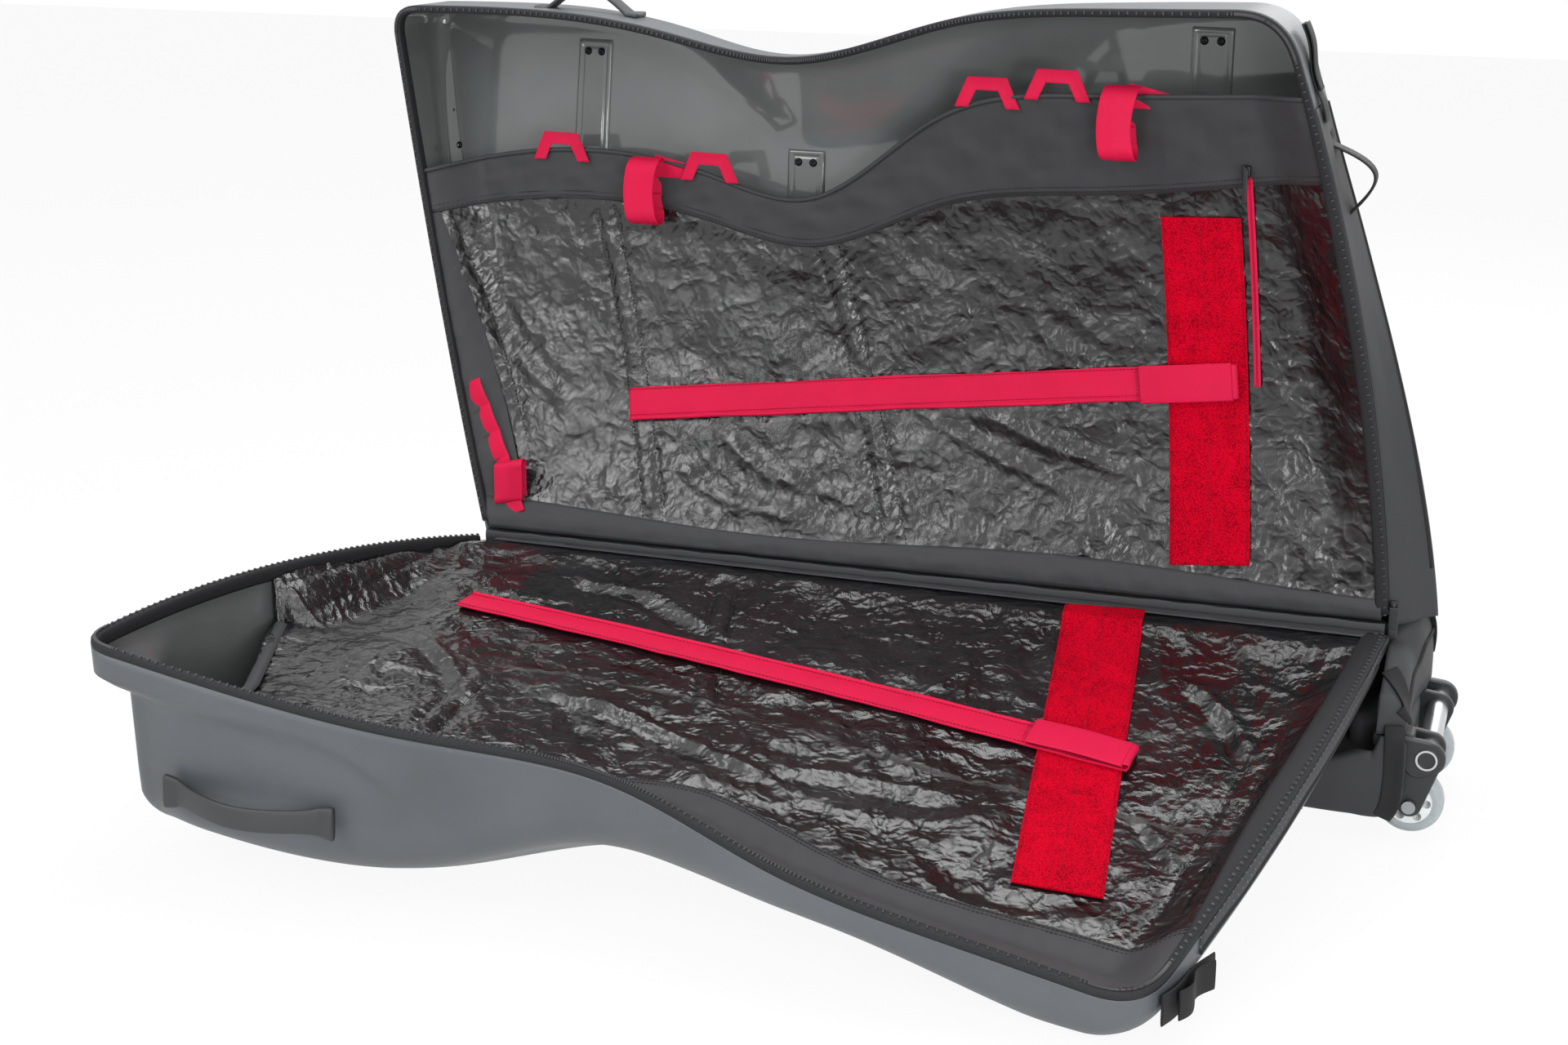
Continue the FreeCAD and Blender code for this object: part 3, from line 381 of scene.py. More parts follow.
TOP_FOOT = {half: cubic(feet) for half, feet in TOP_FEET.items()}
END_FOOT = cubic(END_FEET)
FACE_BLEND = 0.012
FLUTES_RISE = (0.36, 0.50)
FLUTE_DEPTH = 0.0045
FLUTE_LEAN = 0.05
FLUTE_TURNS = 17.0
FLUTE_START = 1.1


def face(half, x, z):
    """Outer face: the fan from the hinge to the corners, cut back by slopes that rise from the wall feet.

    The back half has shallow upright flutes near its top.
    """
    left, right = ((reach - BASE_REACH) / corner[1]
                   for reach, corner in zip(REACHES[half], (LEFT_CORNER, RIGHT_CORNER)))
    fan = BASE_REACH + z * between(x, left, right)
    top = top_wall(x)
    flank = half * rim(x, top) + TOP_FOOT[half](x) + FLANK_SLOPE * (top - z)
    reach = soft_min(fan, flank, FACE_BLEND)
    if half == BACK:
        flute = np.abs(np.sin((x + FLUTE_LEAN * z) * FLUTE_TURNS + FLUTE_START)) ** 1.5
        reach = reach - FLUTE_DEPTH * smoothstep(*FLUTES_RISE, z) * flute
    else:
        end = right_wall(z)
        flank = half * rim(end, z) + END_FOOT(z) + FLANK_SLOPE * (end - x)
        reach = soft_min(reach, flank, FACE_BLEND)
    return half * reach


def to_world(half, x, y, z):
    """Closed place of a half, turned about the hinge to where the half lies open."""
    turn = math.radians(LEANS[half])
    cos, sin = math.cos(turn), math.sin(turn)
    x, y, z = np.broadcast_arrays(x, y, z)
    return np.stack([x, y * cos - z * sin, HINGE_HEIGHT + y * sin + z * cos], axis=-1)


def turned(half, x, y, z):
    """Direction in the closed case, turned as its half is."""
    return to_world(half, x, y, z) - to_world(half, 0.0, 0.0, 0.0)


def open_side(half):
    """Direction straight out of a half's open side."""
    return turned(half, 0.0, -half, 0.0)


# Cloth surfaces inside the halves

FRONT_EDGE = ((0.0, -0.480), (0.210, -0.640), (0.330, -0.606), (0.500, -0.545), (0.640, -0.520))
EDGE_REACH = 0.062
CLOSED_ROOM = 0.0055
SEWN_BELOW = 0.33
SEWN_FROM = -0.56
NOT_SEWN = 1.0
HELD_DEPTH = 0.012
FLOOR_ROOM = 0.006
HINGE_SWELL = 0.010
HINGE_SWELL_RISE = 0.035
HINGE_SWELL_WIDTH = 0.03
FRONT_BORDER_LEFT = -0.30
BACK_TOP = cubic(((-0.706, 0.385), (-0.510, 0.432), (-0.270, 0.420), (-0.140, 0.404), (0.0, 0.497),
                  (0.170, 0.535), (0.560, 0.560)))
BORDER_DROP = cubic(((-0.706, 0.045), (-0.510, 0.055), (-0.270, 0.052), (-0.140, 0.055), (0.0, 0.095),
                     (0.170, 0.106), (0.560, 0.070)))
FRONT_BORDER_LOW = cubic(((-0.420, 0.578), (-0.260, 0.545), (-0.086, 0.470), (0.056, 0.510), (0.314, 0.528),
                          (0.560, 0.545)))


def cloth_left(half, z):
    """Left edge of a liner: at the wall, and in the front half short of it near the top."""
    wall = left_wall(z) + LINER_EDGE
    if half == BACK:
        return wall
    rows = np.array(FRONT_EDGE)
    return np.maximum(wall, np.interp(z, rows[:, 0], rows[:, 1]))


def cloth_right(z):
    """Right edge of a liner, just in from the wheel end."""
    return right_wall(z) - LINER_EDGE


def cloth(half, x, z):
    """Smooth liner face: hangs in a parabola below the rim and rises to the zip band at its sewn ends."""
    share = z / LINER_SAG_RISE
    sag = LINER_SAG * share * (2 - share)
    away = cloth_right(z) - x
    if half == BACK:
        away = np.minimum(away, x - cloth_left(half, z))
    else:
        away = np.minimum(away, np.where(z < SEWN_BELOW, x - cloth_left(half, z), NOT_SEWN))
        away = np.minimum(away, np.where(x > SEWN_FROM, top_wall(x) - LINER_EDGE - z, NOT_SEWN))
    held = np.minimum(sag, HELD_DEPTH)
    depth = held + (sag - held) * smoothstep(0, EDGE_REACH, away)
    if half == FRONT:
        room = half * (face(half, x, z) - rim(x, z)) - FLOOR_ROOM
        depth = np.minimum(depth, room) - HINGE_SWELL * bell(z - HINGE_SWELL_RISE, HINGE_SWELL_WIDTH)
    return rim(x, z) + half * np.maximum(depth, CLOSED_ROOM)


def back_border_low(x):
    """Lower edge of the back half's border."""
    return BACK_TOP(x) - BORDER_DROP(x)


TURN = 6.283
PHASES = 6.28
WAVES = 9
WAVE_SPREAD = (0.7, 1.5)
CREASED_X = (-0.72, 0.58)
CREASED_Z = (-0.05, 0.70)
CREASE_SPREAD = (0.55, 1.6)


def ripples(x, z, wave, seed):
    """Sum of sine waves in seeded directions around one wave length, from about -1 to 1."""
    draw = np.random.default_rng(seed)
    total = np.zeros(np.broadcast(x, z).shape)
    angles = draw.uniform(0, math.pi, WAVES)
    phases = draw.uniform(0, PHASES, WAVES)
    for angle, phase, size in zip(angles, phases, draw.uniform(*WAVE_SPREAD, WAVES)):
        total += np.sin((x * math.cos(angle) + z * math.sin(angle)) * TURN / (wave * size) + phase)
    return total / math.sqrt(WAVES)


def facets(x, z, cell, seed):
    """Creased sheet: distance to the nearest of scattered seeds, so that sharp ridges run between hollows."""
    draw = np.random.default_rng(seed)
    count = int((CREASED_X[1] - CREASED_X[0]) * (CREASED_Z[1] - CREASED_Z[0]) / cell ** 2)
    seeds = np.column_stack([draw.uniform(*CREASED_X, count), draw.uniform(*CREASED_Z, count)])
    stretch = draw.uniform(*CREASE_SPREAD, count)
    flat_x, flat_z = np.ravel(x), np.ravel(z)
    near = np.full(flat_x.shape, np.inf)
    for (sx, sz), wide in zip(seeds, stretch):
        np.minimum(near, np.hypot((flat_x - sx) * wide, (flat_z - sz) / wide), out=near)
    return (near / cell).reshape(np.shape(x))


def heading(start, end):
    """Unit vector from start to end."""
    return (np.array(end) - start) / math.dist(start, end)


def line_at(start, end, t):
    """Places (x, z) at these shares of a line."""
    return start[0] + (end[0] - start[0]) * t, start[1] + (end[1] - start[1]) * t


def line_place(x, z, start, end):
    """Way along a line and distance to its left, of each point."""
    way = heading(start, end)
    dx, dz = x - start[0], z - start[1]
    return dx * way[0] + dz * way[1], dz * way[0] - dx * way[1]


BACK_STRAP = ((-0.358, 0.155), (0.342, 0.243))
FRONT_STRAP = ((-0.447, 0.200), (0.303, 0.272))
BACK_PILE = ((0.296, 0.415), (0.328, 0.045))
FRONT_PILE = ((0.224, 0.022), (0.275, 0.478))
POCKET_ZIP = ((0.344, 0.486), (0.364, 0.238))
DAISY_CHAIN = ((-0.556, 0.168), (-0.482, 0.024))
LAID = {
    BACK: ((BACK_STRAP, 0.038), (BACK_PILE, 0.086), (POCKET_ZIP, 0.014), (DAISY_CHAIN, 0.030)),
    FRONT: ((FRONT_STRAP, 0.038), (FRONT_PILE, 0.086)),
}
CHANNELS = {
    BACK: (((-0.606, 0.353), (-0.458, 0.010)), ((-0.408, 0.376), (-0.309, 0.020)),
           ((-0.125, 0.349), (-0.015, 0.013)), ((0.269, 0.505), (0.323, 0.010))),
    FRONT: (((-0.191, 0.070), (-0.129, 0.316)), ((-0.359, 0.349), (-0.353, 0.492)),
            ((-0.585, 0.340), (-0.545, 0.120)), ((0.378, 0.481), (0.430, 0.188))),
}
TENSION = {
    BACK: (((-0.05, 0.215), (0.20, 0.075), 0.004), ((0.03, 0.215), (0.26, 0.105), 0.004),
           ((-0.25, 0.135), (-0.05, 0.050), 0.003), ((-0.30, 0.10), (-0.12, 0.03), 0.003),
           ((0.10, 0.30), (0.27, 0.20), 0.003), ((-0.56, 0.26), (-0.43, 0.12), 0.003)),
    FRONT: (((-0.38, 0.09), (-0.12, 0.17), 0.006), ((-0.30, 0.36), (0.02, 0.42), 0.005),
            ((0.33, 0.12), (0.47, 0.30), 0.007), ((0.31, 0.33), (0.43, 0.50), 0.006),
            ((-0.05, 0.42), (0.18, 0.36), 0.005), ((-0.47, 0.30), (-0.30, 0.43), 0.006)),
}
CHANNEL_HALF = 0.012
LAID_FADE = (0.004, 0.030)
BORDER_FADE = (0.0, 0.022)
HINGE_FADE = (0.030, 0.055)
LOOSENESS = {BACK: 1.0, FRONT: 1.7}
CREASE_WARP = 0.018
WARP_WAVES = (0.13, 0.11)
SWELL_HEIGHT, SWELL_WAVE = 0.0016, 0.16
CREASE_HEIGHT, CREASE_CELL = 0.0024, 0.052
CRINKLE_HEIGHT, CRINKLE_CELL = 0.0010, 0.024
CREASE_MEAN = 0.55
FOLD_BEND, FOLD_TIP = 0.010, 0.02
FOLD_WIDTH = 0.008
HOLLOW_SHARE, HOLLOW_AWAY, HOLLOW_WIDTH = 0.6, 0.017, 0.010
CHANNEL_TIP = 0.01
CALM_SHARE, CALM_WIDTH = 0.6, 0.020
PUCKER_HEIGHT, PUCKER_PITCH, PUCKER_AWAY, PUCKER_WIDTH = 0.0011, 0.013, 0.014, 0.010
SEAM_DEPTH, SEAM_WIDTH = 0.0022, 0.0030
FILL_HEIGHT, FILL_WIDTH = 0.0020, 0.009


def open_cloth(half, x, z):
    """One where nothing lies on a liner, zero under straps, panels and borders, smooth between."""
    mask = np.ones(np.shape(x))
    for (start, end), width in LAID[half]:
        way, off = line_place(x, z, start, end)
        beyond = np.maximum(np.maximum(-way, way - math.dist(start, end)), np.abs(off) - width / 2)
        mask = mask * smoothstep(*LAID_FADE, beyond)
    if half == BACK:
        mask = mask * smoothstep(*BORDER_FADE, back_border_low(x) - z)
    else:
        below = smoothstep(*BORDER_FADE, FRONT_BORDER_LOW(x) - z)
        mask = mask * np.where(x > FRONT_BORDER_LEFT, below, 1.0)
    return mask * smoothstep(*HINGE_FADE, z)


def wrinkles(half, x, z):
    """Height of a liner's folds, crumples and puckered channels over its smooth face."""
    loose = LOOSENESS[half]
    warp_x = x + CREASE_WARP * ripples(x, z, WARP_WAVES[0], 5 + half)
    warp_z = z + CREASE_WARP * ripples(x, z, WARP_WAVES[1], 9 + half)
    height = SWELL_HEIGHT * loose * ripples(x, z, SWELL_WAVE, 21 + half)
    height += CREASE_HEIGHT * loose * (facets(warp_x, warp_z, CREASE_CELL, 31 + half) - CREASE_MEAN)
    fine = facets(warp_z * 0.9 + 0.1, warp_x * 0.5 + 0.35, CRINKLE_CELL, 41 + half)
    height += CRINKLE_HEIGHT * loose * (fine - CREASE_MEAN)
    for start, end, lift in TENSION[half]:
        way, off = line_place(x, z, start, end)
        span = math.dist(start, end)
        off = off + FOLD_BEND * np.sin(way / span * 5)
        fade = smoothstep(-FOLD_TIP, span * 0.3, way) * smoothstep(-FOLD_TIP, span * 0.4, span - way)
        hollow = HOLLOW_SHARE * bell(off - HOLLOW_AWAY, HOLLOW_WIDTH)
        height += lift * fade * (bell(off, FOLD_WIDTH) - hollow)
    for start, end in CHANNELS[half]:
        way, off = line_place(x, z, start, end)
        rest = math.dist(start, end) - way
        inside = smoothstep(-CHANNEL_TIP, CHANNEL_TIP, way) * smoothstep(-CHANNEL_TIP, CHANNEL_TIP, rest)
        aside = np.abs(off)
        height *= 1 - CALM_SHARE * inside * bell(aside, CALM_WIDTH)
        pucker = PUCKER_HEIGHT * np.sin(way * TURN / PUCKER_PITCH + 9 * off / 0.03)
        pucker = pucker * bell(aside - PUCKER_AWAY, PUCKER_WIDTH)
        seam = -SEAM_DEPTH * bell(aside - CHANNEL_HALF, SEAM_WIDTH)
        height += inside * (pucker + seam + FILL_HEIGHT * bell(off, FILL_WIDTH))
    return height * open_cloth(half, x, z)


def on_cloth(half, x, z, lift):
    """World place of a point at a height over a liner's smooth face."""
    return to_world(half, x, cloth(half, x, z) - half * lift, z)


# Meshes

MERGE_DISTANCE = 2e-6


def to_mesh(name, grids, closed=False, toward=None):
    """Mesh of point grids: quads between neighbours, UV in metres along both ways, doubles merged."""
    points, faces, maps = [], [], []
    count = 0
    for grid in grids:
        rows, columns = grid.shape[:2]
        u = np.zeros((rows, columns))
        v = np.zeros((rows, columns))
        u[1:] = np.cumsum(np.linalg.norm(np.diff(grid, axis=0), axis=2), axis=0)
        v[:, 1:] = np.cumsum(np.linalg.norm(np.diff(grid, axis=1), axis=2), axis=1)
        index = np.arange(rows * columns).reshape(rows, columns) + count
        quads = np.stack([index[:-1, :-1], index[1:, :-1], index[1:, 1:], index[:-1, 1:]], axis=-1)
        points.append(grid.reshape(-1, 3))
        faces.append(quads.reshape(-1, 4))
        maps.append(np.stack([u, v], axis=-1).reshape(-1, 2))
        count += rows * columns
    return plain_mesh(name, np.vstack(points), np.vstack(faces), np.vstack(maps), closed, toward)


def plain_mesh(name, points, faces, uv=None, closed=False, toward=None):
    """Mesh from whole arrays of points and four-sided faces; with a UV map, doubles are merged."""
    mesh = bpy.data.meshes.new(name)
    mesh.vertices.add(len(points))
    mesh.vertices.foreach_set("co", points.astype(np.float32).ravel())
    mesh.loops.add(faces.size)
    mesh.loops.foreach_set("vertex_index", faces.astype(np.int32).ravel())
    mesh.polygons.add(len(faces))
    mesh.polygons.foreach_set("loop_start", np.arange(0, faces.size, 4, dtype=np.int32))
    mesh.update(calc_edges=True)
    if uv is not None:
        layer = mesh.uv_layers.new(name="UVMap")
        layer.data.foreach_set("uv", uv[faces.ravel()].astype(np.float32).ravel())
    if uv is not None or closed:
        work = bmesh.new()
        work.from_mesh(mesh)
        if uv is not None:
            bmesh.ops.remove_doubles(work, verts=work.verts, dist=MERGE_DISTANCE)
            bmesh.ops.dissolve_degenerate(work, edges=work.edges, dist=1e-7)
        if closed:
            bmesh.ops.recalc_face_normals(work, faces=work.faces)
        work.to_mesh(mesh)
        work.free()
    if toward is not None:
        normals = np.empty(len(mesh.polygons) * 3, np.float32)
        mesh.polygons.foreach_get("normal", normals)
        if (normals.reshape(-1, 3) @ np.array(toward)).sum() < 0:
            mesh.flip_normals()
    mesh.polygons.foreach_set("use_smooth", np.ones(len(mesh.polygons), bool))
    mesh.update()
    return mesh


def add_piece(mesh, body, slot, looks, replaced=(), sharp=None, blend=None):
    """Object of a mesh that rides on a body, with its finishes and the CAD nodes that it stands for."""
    piece = bpy.data.objects.new(mesh.name, mesh)
    bpy.context.scene.collection.objects.link(piece)
    for look in looks:
        mesh.materials.append(finish(look))
    if sharp:
        mesh.set_sharp_from_angle(angle=math.radians(sharp))
    if blend:
        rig.blend(piece, *blend)
    else:
        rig.ride(piece, body)
    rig.slot(piece, slot)
    if replaced:
        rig.replaces(piece, *replaced)
    return piece


def add_solid(name, grids, body, slot, look, replaced=(), sharp=None):
    """Closed piece of one finish."""
    return add_piece(to_mesh(name, grids, closed=True), body, slot, [look], replaced, sharp)


def thicken(piece, thickness, offset, inner=0):
    """Wall of even thickness on an open surface, its inner side with the finish of that number."""
    wall = piece.modifiers.new("Wall", "SOLIDIFY")
    wall.thickness = thickness
    wall.offset = offset
    wall.material_offset = inner


def capped(rings):
    """Row of closed rings with its first and last ring drawn in to their middles."""
    caps = [np.repeat(rings[end, :-1].mean(axis=0)[None], rings.shape[1], axis=0)[None] for end in (0, -1)]
    return np.concatenate([caps[0], rings, caps[1]])


def swept(path, across, out, profile):
    """Profile rows (across, out) carried along a path, closed round the profile and at both ends."""
    ring = np.vstack([profile, profile[:1]])
    return capped(path[:, None] + across[:, None] * ring[None, :, :1] + out[:, None] * ring[None, :, 1:])


def band_profile(width, thickness, crown=0.0, count=20):
    """Flat band's section: a rounded oblong whose upper side may be crowned."""
    angle = np.linspace(0, 2 * math.pi, count, endpoint=False)
    cos, sin = np.cos(angle), np.sin(angle)
    a = width / 2 * np.sign(cos) * np.abs(cos) ** 0.42
    b = thickness / 2 * np.sign(sin) * np.abs(sin) ** 0.6
    lift = crown * np.clip(1 - (2 * a / width) ** 2, 0, 1) * (sin > 0)
    return np.column_stack([a, b + lift])


def round_profile(radius, count=10):
    """Section of piping: a circle."""
    angle = np.linspace(0, 2 * math.pi, count, endpoint=False)
    return radius * np.column_stack([np.cos(angle), np.sin(angle)])


def unit(vectors):
    """Vectors made one long."""
    return vectors / np.maximum(np.linalg.norm(vectors, axis=-1, keepdims=True), 1e-12)


def square_to(way, vectors):
    """Unit vectors of what the given ones have square to the way."""
    return unit(vectors - way * (vectors * way).sum(axis=1)[:, None])


def ribbon(path, across_hint, profile):
    """Band along a path: its width follows the hint, square to the way."""
    way = unit(np.gradient(path, axis=0))
    across = square_to(way, np.broadcast_to(np.asarray(across_hint, float), path.shape))
    return swept(path, across, np.cross(across, way), profile)


SIDE_STEP = 0.004


def laid_band(half, start, end, profile, lift, count, sway=None):
    """Band that lies on a liner from start to end, at a height over it."""
    t = np.linspace(0, 1, count)
    x, z = line_at(start, end, t)
    if sway is not None:
        z = z + sway(t)
    path = on_cloth(half, x, z, lift)
    ahead = heading(start, end)
    over = on_cloth(half, x + ahead[1] * SIDE_STEP, z - ahead[0] * SIDE_STEP, lift) - path
    way = unit(np.gradient(path, axis=0))
    across = square_to(way, over)
    return swept(path, across, np.cross(way, across) * half, profile)


BOX_CORNERS = np.array([(-1, -1, -1), (1, -1, -1), (1, 1, -1), (-1, 1, -1),
                        (-1, -1, 1), (1, -1, 1), (1, 1, 1), (-1, 1, 1)], float)
BOX_FACES = np.array([(0, 3, 2, 1), (4, 5, 6, 7), (0, 1, 5, 4), (1, 2, 6, 5), (2, 3, 7, 6), (3, 0, 4, 7)])
BLOCK_TAPER = 0.75


def blocks(name, centres, first, second, third):
    """Small blocks in a row: three half lengths each, as vectors, narrower on the third's far side."""
    corner = BOX_CORNERS[None]
    shrink = np.where(corner[..., 2:] > 0, BLOCK_TAPER, 1.0)
    flat = first[:, None] * corner[..., :1] + second[:, None] * corner[..., 1:2]
    points = centres[:, None] + shrink * flat
    points = points + third[:, None] * corner[..., 2:]
    faces = BOX_FACES[None] + 8 * np.arange(len(centres))[:, None, None]
    return plain_mesh(name, points.reshape(-1, 3), faces.reshape(-1, 4), closed=True)


STITCH_PITCH = 0.0042
STITCH_SHARE = 0.36
THREAD_HALF_WIDTH = 0.00035
THREAD_HALF_HEIGHT = 0.00030


def stitch_row(half, start, end, lift, pitch=STITCH_PITCH, offset=0.0):
    """Middle and half length vectors of the stitches along a line on a liner."""
    start, end = np.array(start), np.array(end)
    span = np.linalg.norm(end - start)
    way = (end - start) / span
    count = max(2, int(span / pitch))
    x, z = line_at(start, end, (np.arange(count) + 0.5) / count)
    return curve_stitches(half, x - way[1] * offset, z + way[0] * offset, lift, pitch)


def curve_stitches(half, x, z, lift, pitch=STITCH_PITCH):
    """Stitches along a row of places on a liner."""
    centre = on_cloth(half, x, z, lift)
    ahead = unit(np.gradient(centre, axis=0)) * pitch * STITCH_SHARE
    out = np.broadcast_to(open_side(half), centre.shape)
    side = unit(np.cross(ahead, out)) * THREAD_HALF_WIDTH
    return centre, ahead, side, out * THREAD_HALF_HEIGHT


def add_stitches(name, rows, half, look, slot):
    """One piece of all the stitches of a kind on one half."""
    parts = [np.vstack(column) for column in zip(*rows)]
    return add_piece(blocks(name, *parts), BODIES[half], slot, [look])


# Finishes

def linear(colour):
    """Display colour as scene colour."""
    c = np.array(colour[:3], float)
    return tuple(np.where(c <= 0.04045, c / 12.92, ((c + 0.055) / 1.055) ** 2.4)) + (1.0,)


def toned(colour, by, lift=0.0):
    """Display colour made lighter or darker."""
    return [c * by + lift for c in colour]


class Value:
    """Output socket that Python's operators turn into Math nodes."""

    def __init__(self, maker, socket):
        self.maker = maker
        self.socket = socket

    def math(self, operation, *values):
        return self.maker.node("ShaderNodeMath", {"operation": operation}, dict(enumerate(values)))

    def __add__(self, other):
        return self.math("ADD", self, other)

    def __mul__(self, other):
        return self.math("MULTIPLY", self, other)

    def __sub__(self, other):
        return self.math("SUBTRACT", self, other)

    def __rsub__(self, other):
        return self.math("SUBTRACT", other, self)

    def sine(self):
        return self.math("SINE", self)


class Nodes:
    """Maker of the nodes of one tree."""

    def __init__(self, tree):
        self.tree = tree

    def node(self, kind, settings, sockets, output=0):
        """Any node: its type, its settings, then the values or links of its sockets."""
        made = self.tree.nodes.new(kind)
        for key, value in settings.items():
            setattr(made, key, value)
        for key, value in sockets.items():
            if isinstance(value, Value):
                self.tree.links.new(value.socket, made.inputs[key])
            else:
                made.inputs[key].default_value = value
        return Value(self, made.outputs[output])

    def link(self, value, name, socket):
        """Value led to a socket of a node that the tree starts with."""
        self.tree.links.new(value.socket, self.tree.nodes[name].inputs[socket])

    def seen_directly(self):
        """One for rays from the camera, off glossy surfaces and through clear ones."""
        camera, glossy, clear = (self.node("ShaderNodeLightPath", {}, {}, "Is %s Ray" % kind)
                                 for kind in ("Camera", "Glossy", "Transmission"))
        most = camera.math("MAXIMUM", camera, glossy)
        return most.math("MAXIMUM", most, clear)


class Finish(Nodes):
    """Procedural material around one Principled shader."""

    def __init__(self, name, **constants):
        self.material = bpy.data.materials.new(name)
        self.material.use_nodes = True
        super().__init__(self.material.node_tree)
        self.shader = self.tree.nodes["Principled BSDF"]
        for label, value in constants.items():
            self.shader.inputs[label.replace("_", " ")].default_value = value

    def place(self, kind="Object"):
        return self.node("ShaderNodeTexCoord", {}, {}, kind)

    def mapped(self, scale, kind="Object"):
        return self.node("ShaderNodeMapping", {}, {"Vector": self.place(kind), "Scale": scale})

    def noise(self, scale, detail=3.0, rough=0.55, distortion=0.0, vector=None):
        sockets = {"Vector": vector or self.place(), "Scale": scale, "Detail": detail,
                   "Roughness": rough, "Distortion": distortion}
        return self.node("ShaderNodeTexNoise", {}, sockets)

    def cells(self, scale, vector=None, feature="F1"):
        sockets = {"Vector": vector or self.place(), "Scale": scale}
        return self.node("ShaderNodeTexVoronoi", {"feature": feature}, sockets)

    def axis(self, vector, name):
        return self.node("ShaderNodeSeparateXYZ", {}, {0: vector}, name)

    def ramp(self, value, low, high):
        """Value mapped from low..high to nought..one, and kept there."""
        sockets = {"Value": value, "From Min": low, "From Max": high}
        return self.node("ShaderNodeMapRange", {"clamp": True}, sockets)

    def mix(self, factor, first, second):
        sockets = {0: factor, 6: first, 7: second}
        return self.node("ShaderNodeMix", {"data_type": "RGBA"}, sockets, 2)

    def bump(self, height, distance, strength=1.0, normal=None):
        sockets = {"Height": height, "Distance": distance, "Strength": strength}
        if normal:
            sockets["Normal"] = normal
        return self.node("ShaderNodeBump", {}, sockets)

    def feed(self, **links):
        for label, value in links.items():
            self.link(value, "Principled BSDF", label.replace("_", " "))
        return self.material


def satin_plastic(name, colour, grain, rough):
    """Moulded plastic: fine eroded grain, cloudy gloss and pale rubbed specks."""
    made = Finish(name, IOR=1.48)
    cloud = made.noise(5.0, 4.0)
    fine = made.noise(grain, 2.0, 0.6)
    pits = made.cells(grain * 0.6)
    scuff = made.ramp(made.noise(34.0, 6.0, 0.7, 1.5), 0.60, 0.74)
    shade = made.mix(made.ramp(cloud, 0.3, 0.7), linear(colour), linear(toned(colour, 1.13, 0.012)))
    shade = made.mix(scuff * 0.18, shade, linear(toned(colour, 1.35, 0.05)))
    bump = made.bump(fine * 0.7 + pits * 0.5, 0.00022, 0.55)
    return made.feed(Base_Color=shade, Roughness=cloud * 0.14 + scuff * 0.10 + (rough - 0.07), Normal=bump)


def gloss_plastic(name, colour):
    """Polished inside of a moulded shell: deep gloss, orange peel and fine streaks of dust."""
    made = Finish(name, IOR=1.5, Coat_Weight=0.5, Coat_Roughness=0.05)
    peel = made.noise(42.0, 2.0, 0.45)
    wave = made.noise(7.0, 1.0, 0.4)
    dust = made.ramp(made.noise(60.0, 8.0, 0.75), 0.55, 0.80)
    cloud = made.ramp(made.noise(4.0, 3.0), 0.3, 0.7)
    shade = made.mix(cloud, linear(colour), linear(toned(colour, 1.16, 0.01)))
    shade = made.mix(dust * 0.12, shade, linear((0.52, 0.53, 0.52)))
    bump = made.bump(peel * 0.18 + wave, 0.0016, 0.35)
    return made.feed(Base_Color=shade, Roughness=dust * 0.12 + cloud * 0.06 + 0.10, Normal=bump)


def weave(made, along, across):
    """Plain weave on the UV map: two crossed sine waves whose crests take turns."""
    place = made.mapped((1.0, 1.0, 1.0), "UV")
    u = made.axis(place, "X") * along
    v = made.axis(place, "Y") * across
    return u.sine() * v.sine() * 0.5 + 0.5


def coated_tarp(name, colour, light, crumple):
    """Coated tarpaulin: glossy film over a tape weave, with sharp crinkles at three sizes."""
    made = Finish(name, IOR=1.66)
    warp = made.node("ShaderNodeVectorMath", {"operation": "MULTIPLY_ADD"}, {
        0: made.node("ShaderNodeTexNoise", {}, {"Vector": made.place(), "Scale": 26.0, "Detail": 3.0}, 1),
        1: (0.035, 0.035, 0.035),
        2: made.place(),
    })
    big = made.cells(17.0, warp, "SMOOTH_F1")
    mid = made.cells(42.0, warp)
    small = made.cells(105.0, warp)
    tape = weave(made, 2300.0, 2300.0)
    height = big * 1.5 + mid * 0.75 + small * 0.30
    bump = made.bump(height, crumple, 0.85)
    bump = made.bump(tape, 0.00022, 0.45, bump)
    worn = made.ramp(made.noise(9.0, 5.0, 0.65, 0.6), 0.42, 0.68)
    # Painted highlight: paler tone on the raised crinkle ridges, from the same cells as the bump
    crease_highlight = made.ramp(mid, 0.35, 0.75)
    shade = made.mix(worn * 0.55 + crease_highlight * 0.25, linear(colour), linear(light))
    return made.feed(Base_Color=shade, Roughness=worn * 0.13 + tape * 0.04 + 0.14, Normal=bump)


def nylon(name, colour, pitch=5200.0, dots=False):
    """Matt woven nylon, faintly uneven; the vented kind has rows of pierced dots."""
    made = Finish(name, IOR=1.45, Sheen_Weight=0.02, Sheen_Roughness=0.5)
    threads = weave(made, pitch, pitch)
    cloud = made.noise(18.0, 4.0)
    soft = made.noise(55.0, 3.0)
    shade = made.mix(threads * 0.45 + cloud * 0.4, linear(colour), linear(toned(colour, 1.5, 0.035)))
    height = threads * 0.18 + soft
    if dots:
        place = made.mapped((105.0, 105.0, 1.0), "UV")
        spot = made.node("ShaderNodeTexVoronoi", {"voronoi_dimensions": "2D"},
                         {"Vector": place, "Scale": 1.0, "Randomness": 0.0})
        hole = (1.0 - made.ramp(spot, 0.07, 0.12)) * made.ramp(made.noise(6.0), 0.48, 0.52)
        shade = made.mix(hole, shade, linear(toned(colour, 2.2, 0.10)))
        height = height - hole * 0.8
    bump = made.bump(height, 0.0010, 0.45)
    return made.feed(Base_Color=shade, Roughness=cloud * 0.16 + 0.56, Normal=bump)


